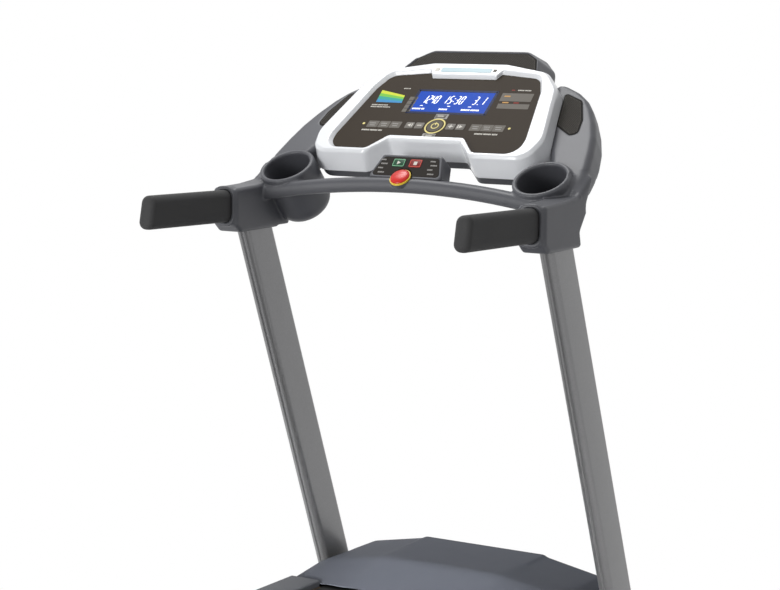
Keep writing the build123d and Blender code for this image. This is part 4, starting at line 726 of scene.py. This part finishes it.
@dataclass
class Studio:
    """Floor, lights, world and camera."""

    floor_colour: str = "F4F4F4"
    floor_half: float = 9.0
    fade: Two = (0.9, 1.5)
    spread: Two = (1.35, 0.85)
    fade_shift: float = 0.3
    lens: float = 97.94
    sensor: float = 36.0
    place: Three = (2.516, -3.604, 1.579)
    turn: Three = (82.0, 0.0, 32.16)
    ambient: float = 0.38
    lamps: tuple[Lamp, ...] = (
        Lamp("overhead", (-0.6, 0.7, 3.1), (0.0, 0.5, 1.2), 1.0, 27.0),
        Lamp("front", (-1.2, -3.7, 1.2), (0.0, 0.4, 0.8), 1.6, 85.0),
        Lamp("low", (0.0, -1.7, 0.45), (0.0, 0.56, 0.2), 0.6, 6.0, 36.0, False),
    )

    def seen(self, tree: NodeTree) -> NodeSocket:
        """Tells what the camera sees, also in gloss and through glass, from other light.

        Args:
            tree: node tree of the floor or of the world.

        Returns:
            Socket that is 1 for what is seen.
        """
        path = add(tree, "LightPath")
        bent = {0: path.outputs["Is Glossy Ray"], 1: path.outputs["Is Transmission Ray"]}
        gloss = add(tree, "Math", bent, operation="MAXIMUM")
        both = {0: path.outputs["Is Camera Ray"], 1: gloss.outputs[0]}
        return add(tree, "Math", both, operation="MAXIMUM").outputs[0]

    def floor(self) -> None:
        """Pale floor that keeps the shadow near the object and fades to white."""
        bm = bmesh.new()
        bmesh.ops.create_grid(bm, x_segments=1, y_segments=1, size=self.floor_half)
        obj = placed("floor", to_mesh("floor", bm))
        material = bpy.data.materials.new("pale_floor")
        material.use_nodes = True
        tree = material.node_tree
        tree.nodes.clear()
        place = add(tree, "TexCoord").outputs["Object"]
        oval = {"Vector": place, "Location": (0.0, self.fade_shift, 0.0), "Scale": (*self.spread, 1.0)}
        place = add(tree, "Mapping", oval).outputs[0]
        away = add(tree, "VectorMath", {0: place}, operation="LENGTH").outputs["Value"]
        reach = {"Value": away, "From Min": self.fade[0], "From Max": self.fade[1]}
        fade = add(tree, "MapRange", reach, interpolation_type="SMOOTHSTEP")
        share = add(tree, "Math", {0: fade.outputs[0], 1: self.seen(tree)}, operation="MULTIPLY")
        matt = add(tree, "BsdfDiffuse", {"Color": linear(self.floor_colour)})
        white = add(tree, "Emission", {"Color": linear("FFFFFF"), "Strength": 1.0})
        mix = add(tree, "MixShader", {0: share.outputs[0], 1: matt.outputs[0], 2: white.outputs[0]})
        add(tree, "OutputMaterial", {"Surface": mix.outputs[0]})
        obj.data.materials.append(material)

    def world(self) -> None:
        """Even grey light from all round that the camera sees as white."""
        world = bpy.data.worlds.new("studio")
        world.use_nodes = True
        tree = world.node_tree
        tree.nodes.clear()
        dim = add(tree, "Background", {"Color": linear("FFFFFF"), "Strength": self.ambient})
        white = add(tree, "Background", {"Color": linear("FFFFFF"), "Strength": 1.0})
        mix = add(tree, "MixShader", {0: self.seen(tree), 1: dim.outputs[0], 2: white.outputs[0]})
        add(tree, "OutputWorld", {"Surface": mix.outputs[0]})
        bpy.context.scene.world = world

    def camera(self) -> None:
        """Camera at the photograph's place."""
        camera = bpy.data.cameras.new("camera")
        camera.lens = self.lens
        camera.sensor_width = self.sensor
        obj = bpy.data.objects.new("camera", camera)
        obj.location = self.place
        obj.rotation_euler = [math.radians(a) for a in self.turn]
        bpy.context.scene.collection.objects.link(obj)
        bpy.context.scene.camera = obj

    def build(self) -> None:
        """Sets up the whole studio."""
        self.floor()
        self.world()
        for lamp in self.lamps:
            lamp.hang()
        self.camera()
        bpy.context.scene.view_settings.view_transform = "Standard"


@dataclass
class SideMouldings:
    """Housings, cup holders and crossbar, which read as one slate moulding."""

    nodes: tuple[str, ...] = (
        "left_housing", "right_housing", "left_cup_holder", "right_cup_holder", "crossbar",
    )
    skin: Skin = Skin(2.2, 10, 190_000, Fit.SHELL, (
        Zone((395.0, 485.0, 1115.0), (442.0, 605.0, 1205.0), 60),
        Zone((-442.0, 485.0, 1115.0), (-395.0, 605.0, 1205.0), 60),
    ))

    def build(self) -> None:
        """Builds the moulding."""
        arms = self.skin.over("arm_moulding", *self.nodes)
        finished(arms, SLATE, "base", self.nodes)


@dataclass
class Handles:
    """Uprights and foam grips."""

    foam: Skin = Skin(1.6, 6)
    spacing: float = 400.0
    foot_y: float = 828.0
    rake: float = 20.73
    length: float = 1180.0
    section: Two = (36.0, 104.0)
    corner: float = 15.0
    corner_steps: int = 8
    flute: Two = (3.2, 2.6)

    def tube_outline(self) -> Outline:
        """Section of an upright: oval-cornered, with a flute down the face towards the user.

        Returns:
            Its outline.
        """
        width, depth = self.section
        half, deep = self.flute
        points = [(-half, -depth / 2), (0.0, deep - depth / 2), (half, -depth / 2)]
        steps = self.corner_steps
        for quarter, (i, j) in enumerate(((1, -1), (1, 1), (-1, 1), (-1, -1))):
            u, w = i * (width / 2 - self.corner), j * (depth / 2 - self.corner)
            for step in range(steps + 1):
                turn = math.radians(90 * (quarter - 1 + step / steps))
                points.append((u + self.corner * math.cos(turn), w + self.corner * math.sin(turn)))
        return points

    def post(self, side: str, sign: int) -> Object:
        """Raked upright, cut level where it stands on the base.

        Args:
            side: left or right.
            sign: -1 for left, 1 for right.

        Returns:
            The object.
        """
        bm = plates([self.tube_outline()], 0.0, self.length)
        foot = Matrix.Translation((sign * self.spacing * MM, self.foot_y * MM, 0))
        turn = Matrix.Rotation(math.radians(self.rake), 4, "X")
        bmesh.ops.transform(bm, matrix=foot @ turn @ Matrix.Scale(MM, 4), verts=bm.verts)
        level = min(v.co.z for v in NODES[f"{side}_upright"].data.vertices)
        cut = cut_off(bm, (0, 0, level), (0, 0, -1))
        bmesh.ops.contextual_create(bm, geom=[item for item in cut if isinstance(item, BMEdge)])
        bmesh.ops.recalc_face_normals(bm, faces=bm.faces)
        return placed(f"{side}_post", to_mesh(f"{side}_post", bm))

    def build(self) -> None:
        """Builds the grips and the uprights."""
        for side, sign in (("left", -1), ("right", 1)):
            grip = self.foam.over(f"{side}_foam_grip", f"{side}_grip")
            finished(grip, FOAM, "base", [f"{side}_grip"])
            upright = self.post(side, sign)
            finished(upright, SILVER, "base", [f"{side}_upright"])


@dataclass
class Console:
    """White bezel, printed face, display, keys, back shell and grilles, in the mm of the face."""

    bezel: Skin = Skin(1.4, 8, 190_000)
    shell: Skin = Skin(2.0, 8, zones=(Zone((-230.0, 715.0, 1340.0), (230.0, 840.0, 1480.0), 24),))

    window: Four = (6.0, 124.0, 204.0, 74.0)
    border: Three = (12.0, 2.0, 7.0)
    digit: Three = (9.5, 29.0, 2.6)
    digit_gap: float = 0.35
    digit_v: float = 117.0
    slant: float = 0.16
    point_pitch: float = 0.45
    colon: Two = (0.32, 0.68)
    groups: tuple[tuple[str, float, float], ...] = (
        ("1240", -77.0, 11.2), ("15:30", -20.0, 12.6), ("3.1", 60.0, 14.5),
    )
    labels: tuple[Four, ...] = (
        (-90.0, 98.0, 32.0, 5.0), (-18.0, 98.0, 22.0, 5.0), (42.0, 98.0, 46.0, 5.0),
        (-74.0, 109.0, 7.0, 2.6), (0.0, 109.0, 7.0, 2.6), (56.0, 109.0, 7.0, 2.6),
    )

    chart_left: tuple[Two, Two] = ((-203.0, 160.0), (-200.0, 117.0))
    chart_right: tuple[Two, Two] = ((-132.0, 143.0), (-128.0, 116.0))
    profile_bars: tuple[Outline, ...] = (
        ((131.0, 107.0), (213.0, 107.0), (211.0, 124.0), (129.0, 124.0)),
        ((127.0, 133.0), (209.0, 133.0), (207.0, 161.0), (125.0, 161.0)),
    )
    level_column: tuple[Four, ...] = tuple((-103.0, v, 22.0, 12.0) for v in (91.0, 105.0, 119.0, 133.0))
    orange_marks: tuple[Four, ...] = ((142.0, 150.0, 16.0, 4.0), (146.0, 128.0, 16.0, 4.0))
    red_marks: tuple[Four, ...] = ((174.0, 128.0, 14.0, 4.0), (148.0, 172.0, 8.0, 3.0))
    small_print: tuple[Four, ...] = (
        (-206.0, 107.0, 44.0, 3.4), (-206.0, 100.0, 52.0, 3.4), (-190.0, 18.0, 56.0, 4.6),
        (114.0, 18.0, 60.0, 4.6), (160.0, 172.0, 34.0, 3.6), (-146.0, 168.0, 18.0, 2.8),
    )
    bar_corner: float = 1.0
    mark_corner: float = 0.5

    program_keys: tuple[float, ...] = (-169.0, -138.0, -107.0, 108.0, 138.0, 168.0)
    program_size: Two = (29.0, 22.0)
    program_corner: float = 2.0
    icon_word: Four = (-9.0, 3.0, 16.0, 3.4)
    icon_bar: Three = (-4.0, 14.0, 2.4)
    row_ends: tuple[Two, Two] = ((-195.0, 40.0), (195.0, 40.0))
    row_end_radius: float = 3.4
    select_ring: Two = (26.0, 22.4)
    upper_zone: Four = (2.0, 73.0, 34.0, 17.0)
    lower_zone: Four = (-2.0, 5.5, 34.0, 15.0)

    key_row: float = 39.0
    key_travel: float = 0.8
    small_key_offset: float = 34.0
    small_key_hole: Two = (27.2, 11.2)
    small_key_word: Three = (-8.0, 15.0, 3.4)
    arrow: Three = (74.0, 65.0, 5.5)
    arrow_bar: Three = (61.5, 2.4, 11.0)
    dash: Three = (42.0, 12.0, 2.6)
    plus_arm: Three = (3.7, 2.6, 4.6)
    power_ring: Two = (10.0, 7.6)
    power_bar: Three = (7.0, 2.6, 9.0)
    power_bar_lift: float = 0.15

    rim: float = 9.0
    tab_depth: float = 0.6
    tab_proud: float = 0.9
    tab_v: float = 229.0
    grille_pitch: float = 3.4
    hump_lift: float = -1.0
    hump_sheet: Outline = (
        (-175.0, 239.0), (175.0, 239.0), (156.0, 283.0), (128.0, 301.0), (-128.0, 301.0), (-156.0, 283.0),
    )
    wing_lift: float = -28.0
    wing_sheet: Outline = (
        (289.0, 90.0), (330.0, 61.0), (346.0, 66.0), (339.0, 109.0), (313.0, 170.0), (266.0, 195.0),
    )

    def body(self) -> None:
        """Bezel and back shell as smooth mouldings, and the brown face plate."""
        bezel = self.bezel.over("bezel_moulding", "console_bezel")
        finished(bezel, WHITE_ABS, "base", ["console_bezel"])
        shell = self.shell.over("shell_moulding", "console_shell")
        finished(shell, SLATE, "base", ["console_shell"])
        plate = crisp("face_film", ["console_overlay"], 0.0)
        finished(plate, BROWN_FILM, "base", ["console_overlay"])

    def ink_piece(
        self, name: str, outlines: Iterable[Outline], finish: Finish, radius: float = 0.0,
        lift: float = 0.0, body: str = "base",
    ) -> None:
        """Lays flat printed marks on the console face, or at a lift over it."""
        bm = plates(outlines, lift - INK_SUNK, lift + INK_TOP, radius)
        finished(laid(name, bm, CONSOLE_FACE), finish, body)

    def segments(self, mark: str) -> list[Outline]:
        """Bars of one seven-segment mark.

        Args:
            mark: a digit, a point or a colon.

        Returns:
            Outlines of its bars, with its lower left corner at the origin.
        """
        width, height, stroke = self.digit
        half = stroke / 2
        if mark == ".":
            return [box(half, half, stroke, stroke)]
        if mark == ":":
            return [box(half, height * k, stroke, stroke) for k in self.colon]
        lit = {
            "0": "abcdef", "1": "bc", "2": "abged", "3": "abgcd", "4": "fgbc",
            "5": "afgcd", "6": "afgedc", "7": "abc", "8": "abcdefg", "9": "abcdfg",
        }[mark]
        gap, mid, top, east = self.digit_gap, height / 2, height - half, width - half
        ends = {
            "a": (half, top, east, top), "g": (half, mid, east, mid), "d": (half, half, east, half),
            "f": (half, mid, half, top), "b": (east, mid, east, top),
            "e": (half, half, half, mid), "c": (east, half, east, mid),
        }
        bars = []
        for u0, v0, u1, v1 in (ends[name] for name in lit):
            i, j = (1, 0) if v0 == v1 else (0, 1)
            u0, v0, u1, v1 = u0 + i * gap, v0 + j * gap, u1 - i * gap, v1 - j * gap
            near = [(u0 + half, v0 + (j - i) * half), (u1 + (j - i) * half, v1 - half)]
            far = [(u1 - half, v1 + (i - j) * half), (u0 + (i - j) * half, v0 + half)]
            bars.append([(u0, v0), *near, (u1, v1), *far])
        return bars

    def display(self) -> None:
        """Lit window with its border, digits and small labels."""
        u, v, width, height = self.window
        margin, corner, band = self.border
        border = plates([box(u, v, width + margin, height + margin)], -INK_SUNK, INK_TOP, corner, band)
        finished(laid("display_border", border, CONSOLE_FACE), NAVY, "base")
        glass = crisp("display_window", ["lcd_window"], 0.0)
        finished(glass, DISPLAY, "base", ["lcd_window"])
        bars = []
        for marks, start, pitch in self.groups:
            place = start
            for mark in marks:
                for bar in self.segments(mark):
                    bars.append([(place + a + self.slant * b, self.digit_v + b) for a, b in bar])
                place += pitch * (self.point_pitch if mark in ".:" else 1.0)
        for row in self.labels:
            bars.extend(word_marks(*row))
        self.ink_piece("display_digits", bars, DIGITS)

    def prints(self) -> None:
        """Chart, bars, key zones and small print on the brown face."""
        bands = (("lime", LIME_INK), ("leaf", LEAF_INK), ("teal", TEAL_INK), ("sky", SKY_INK))
        for step, (word, ink) in enumerate(bands):
            k0, k1 = step / len(bands), (step + 1) / len(bands)
            edge = [
                [(top[0] + (low[0] - top[0]) * k, top[1] + (low[1] - top[1]) * k) for k in (k0, k1)]
                for top, low in (self.chart_left, self.chart_right)
            ]
            self.ink_piece(f"chart_{word}", [[edge[0][1], edge[1][1], edge[1][0], edge[0][0]]], ink)
        keys = [box(u, self.key_row, *self.program_size) for u in self.program_keys]
        self.ink_piece("program_zones", keys, GREY_INK, self.program_corner)
        self.ink_piece("profile_bars", self.profile_bars, GREY_INK, self.bar_corner)
        blocks = (
            ("level_column", self.level_column, GREY_INK, self.bar_corner, 0.0),
            ("profile_marks_orange", self.orange_marks, ORANGE_INK, self.mark_corner, INK_TOP),
            ("profile_marks_red", self.red_marks, RED_INK, self.mark_corner, 0.0),
        )
        for name, rows, ink, corner, lift in blocks:
            self.ink_piece(name, [box(*row) for row in rows], ink, corner, lift)
        words = [mark for row in self.small_print for mark in word_marks(*row)]
        self.ink_piece("small_print", words, PALE_INK)
        icons = []
        (word_u, word_v, *word), (bar_v, *bar) = self.icon_word, self.icon_bar
        for u in self.program_keys:
            icons += word_marks(u + word_u, self.key_row + word_v, *word)
            icons.append(box(u, self.key_row + bar_v, *bar))
        self.ink_piece("program_icons", icons, LIGHT_GREY_INK, lift=INK_TOP)
        zones = []
        for zone, side in ((self.upper_zone, 1), (self.lower_zone, -1)):
            v = self.key_row + side * self.small_key_offset
            zones += bordered(zone, (0.0, v, *self.small_key_hole))
        self.ink_piece("select_zones", zones, LIGHT_GREY_INK)
        ends = discs(self.row_ends, self.row_end_radius, -INK_SUNK, INK_TOP)
        finished(laid("row_end_dots", ends, CONSOLE_FACE), CREAM_INK, "base")
        radius, hole = self.select_ring
        ring = discs(((0.0, self.key_row),), radius, -INK_SUNK, INK_TOP * 2, hole)
        finished(laid("select_ring", ring, CONSOLE_FACE), CREAM_INK, "base")

    def tab(self) -> None:
        """Pale strip and marks on the white tab at the top of the rim."""
        low, high = self.rim - self.tab_depth, self.rim + self.tab_proud
        pieces = (
            ("tab_strip", (0.0, self.tab_v, 136.0, 15.0), 4.0, ICE),
            ("tab_mark_left", (-79.0, self.tab_v, 11.0, 11.0), 1.5, PALE_INK),
            ("tab_mark_right", (77.0, self.tab_v, 9.0, 8.0), 1.5, GREY_INK),
        )
        for name, block, corner, finish in pieces:
            plate = plates([box(*block)], low, high, corner)
            finished(laid(name, plate, CONSOLE_FACE), finish, "base")

    def keys(self) -> None:
        """Keys with the signs printed on them."""
        for name in ("left_far", "left_near", "right_near", "right_far", "upper", "lower"):
            node = f"{name}_key"
            key = crisp(f"{name}_key_cap", [node], 0.0)
            self.clear_foot(key)
            finished(key, KEY, node, [node])
        knob = crisp("round_key_cap", ["round_key"], 0.0)
        finished(knob, ROUND_KEY, "round_key", ["round_key"])
        for node, marks in self.signs().items():
            self.ink_piece(f"{node}_sign", marks, PALE_INK, lift=KEY_TOP, body=node)
        radius, hole = self.power_ring
        low, high = KEY_TOP - INK_SUNK, KEY_TOP + INK_TOP
        ring = discs(((0.0, self.key_row),), radius, low, high, hole)
        finished(laid("round_key_sign", ring, CONSOLE_FACE), CREAM_INK, "round_key")
        offset, *size = self.power_bar
        bar, lift = [box(0.0, self.key_row + offset, *size)], KEY_TOP + self.power_bar_lift
        self.ink_piece("round_key_bar", bar, CREAM_INK, lift=lift, body="round_key")

    def signs(self) -> dict[str, list[Outline]]:
        """Signs printed on the keys.

        Returns:
            Outlines of each key's sign.
        """
        row, offset = self.key_row, self.small_key_offset
        (tip, base, half), (bar_u, *bar), (dash_u, *dash) = self.arrow, self.arrow_bar, self.dash
        arm_v, *arm = self.plus_arm
        word_u, *word = self.small_key_word
        heads = [[(i * tip, row), *((i * base, row + i * k * half) for k in (1, -1))] for i in (-1, 1)]
        arrows = [[head, box(i * bar_u, row, *bar)] for head, i in zip(heads, (-1, 1))]
        plus = [box(dash_u, row, *dash), *(box(dash_u, row + k * arm_v, *arm) for k in (1, -1))]
        return {
            "left_far_key": arrows[0],
            "left_near_key": [box(-dash_u, row, *dash)],
            "right_near_key": plus,
            "right_far_key": arrows[1],
            "upper_key": word_marks(word_u, row + offset, *word),
            "lower_key": word_marks(word_u, row - offset, *word),
        }

    def clear_foot(self, key: Object) -> None:
        """Takes the travel of a press off a key's hidden foot, so that it stays clear of the bezel.

        Args:
            key: the key.
        """
        place = CONSOLE_FACE.matrix()
        back = place.inverted()
        for vertex in key.data.vertices:
            point = back @ vertex.co
            if point.z < 0.0:
                point.z += self.key_travel
                vertex.co = place @ point

    def grilles(self) -> None:
        """Perforated sheets over the loudspeaker openings."""
        mirrored = [(-u, v) for u, v in reversed(self.wing_sheet)]
        sheets = {
            "hump_grille_sheet": (self.hump_sheet, self.hump_lift),
            "right_wing_sheet": (self.wing_sheet, self.wing_lift),
            "left_wing_sheet": (mirrored, self.wing_lift),
        }
        for name, (outline, lift) in sheets.items():
            sheet = laid(name, perforated(outline, lift, self.grille_pitch), CONSOLE_FACE)
            finished(sheet, GRILLE, "base")

    def build(self) -> None:
        """Builds the whole console."""
        self.body()
        self.display()
        self.prints()
        self.tab()
        self.keys()
        self.grilles()


@dataclass
class Pod:
    """Control pod with its keys and the safety key."""

    key_v: float = 40.5
    start_u: float = -28.0
    stop_u: float = 16.0
    key_size: Two = (32.0, 22.0)
    key_line: Two = (2.4, 1.5)
    play: Two = (4.0, 5.0)
    stop: float = 9.0
    print_columns: Two = (-78.0, 53.0)
    print_rows: tuple[Three, ...] = (
        (13.0, 4.0, 18.0), (25.0, 0.0, 13.0), (37.0, 4.0, 18.0), (48.0, 0.0, 13.0),
    )
    print_height: float = 3.6
    skin: Skin = Skin(1.4, 6)
    safety: Two = (-6.0, -4.0)
    spin_steps: int = 64
    dome: Outline = (
        (0.0, 11.6), (6.0, 11.5), (12.0, 11.0), (16.5, 10.1), (20.0, 8.8), (22.2, 7.2), (23.0, 6.0),
        (22.8, 5.1), (22.0, 4.8), (8.0, 4.8), (8.0, -1.4), (0.0, -1.4),
    )
    ring: Outline = ((25.5, 1.0), (25.5, 3.9), (24.9, 4.5), (8.5, 4.5), (8.5, 1.0), (25.5, 1.0))
    seat: Outline = ((25.3, 0.9), (8.5, 0.9), (8.5, -9.0), (25.3, -9.0), (25.3, 0.9))

    def turned(self, name: str, profile: Outline) -> Object:
        """Spins a profile round the safety key's axis.

        Args:
            name: name of the piece.
            profile: radius and height of its points.

        Returns:
            The object.
        """
        bm = bmesh.new()
        verts = [bm.verts.new((r, 0, h)) for r, h in profile]
        edges = [bm.edges.new(pair) for pair in zip(verts, verts[1:])]
        round_z = {"cent": (0, 0, 0), "axis": (0, 0, 1), "angle": math.tau, "use_merge": True}
        bmesh.ops.spin(bm, geom=verts + edges, steps=self.spin_steps, **round_z)
        bmesh.ops.remove_doubles(bm, verts=bm.verts, dist=SPIN_MERGE)
        bmesh.ops.recalc_face_normals(bm, faces=bm.faces)
        bmesh.ops.translate(bm, verts=bm.verts, vec=(*self.safety, 0))
        return laid(name, bm, SAFETY_FACE)

    def build(self) -> None:
        """Builds the whole pod."""
        body = self.skin.over("pod_moulding", "pod_body")
        finished(body, SLATE, "base", ["pod_body"])
        panel = crisp("pod_film", ["pod_panel"], 0.0)
        finished(panel, POD_FILM, "base", ["pod_panel"])
        (back, tip), v = self.play, self.key_v
        triangle = [(self.start_u - back, v - tip), (self.start_u + tip, v), (self.start_u - back, v + tip)]
        self.key("start", self.start_u, START, GREEN_LINE, "start_green", triangle)
        self.key("stop", self.stop_u, STOP, RED_LINE, "stop_red", box(self.stop_u, v, self.stop, self.stop))
        marks = []
        for left in self.print_columns:
            for row_v, shift, length in self.print_rows:
                marks += word_marks(left + shift, row_v, length, self.print_height)
        signs = plates(marks, -INK_SUNK, INK_TOP)
        finished(laid("pod_small_print", signs, POD_FACE), LIGHT_GREY_INK, "base")
        pull = self.turned("safety_pull", self.dome)
        finished(pull, SAFETY_RED, "safety_key", ["safety_key"])
        ring = self.turned("safety_ring", self.ring)
        finished(ring, SAFETY_YELLOW, "base", ["safety_collar"])
        finished(self.turned("safety_seat", self.seat), SLATE, "base")

    def key(self, name: str, u: float, finish: Finish, line: Finish, slot: str, sign: Outline) -> None:
        """Builds a key with its outline and sign.

        Args:
            name: start or stop.
            u: middle across.
            finish: finish of the cap.
            line: ink of the outline.
            slot: material slot; not used.
            sign: outline of the sign.
        """
        node = f"{name}_key"
        finished(crisp(f"{node}_cap", [node], 0.0), finish, node, [node])
        low, high = KEY_TOP - INK_SUNK, KEY_TOP + INK_TOP
        (width, height), (inset, band) = self.key_size, self.key_line
        outline = plates([box(u, self.key_v, width - inset, height - inset)], low, high, inset, band)
        finished(laid(f"{name}_outline", outline, POD_FACE), line, node)
        finished(laid(f"{name}_sign", plates([sign], low, high), POD_FACE), PALE_INK, node)


@dataclass
class RunningGear:
    """Deck, hood, base and everything under them."""

    edge: float = 0.8
    hood: Skin = Skin(1.8, 8, 190_000, zones=(
        Zone((-342.0, 530.0, 130.0), (342.0, 745.0, 260.0), 400),
        Zone((-342.0, 745.0, 150.0), (342.0, 864.0, 260.0), 60),
    ))
    plain_edges: tuple[str, ...] = (
        "walking_belt", "drive_belt", "front_roller", "rear_roller", "motor_shaft", "roller_axles",
        "pivot_pins",
    )

    def build(self) -> None:
        """Builds the hood and dresses every node that nothing stands for yet."""
        hood = self.hood.over("hood_moulding", "hood_cover")
        finished(hood, HOOD, "deck", ["hood_cover"])
        for node in sorted(NODES):
            if node in DRESSED:
                continue
            slot = SLOT_OF[node]
            part = crisp(f"{node}_dressed", [node], 0.0 if node in self.plain_edges else self.edge)
            finished(part, SLOT_FINISH[slot], BODY_OF[node], [node])


def main() -> None:
    """Builds the sub-assemblies in order."""
    logging.basicConfig(level=logging.INFO, format="%(name)s: %(message)s")
    Studio().build()
    SideMouldings().build()
    Handles().build()
    Console().build()
    Pod().build()
    RunningGear().build()


if __name__ == "__main__":
    main()
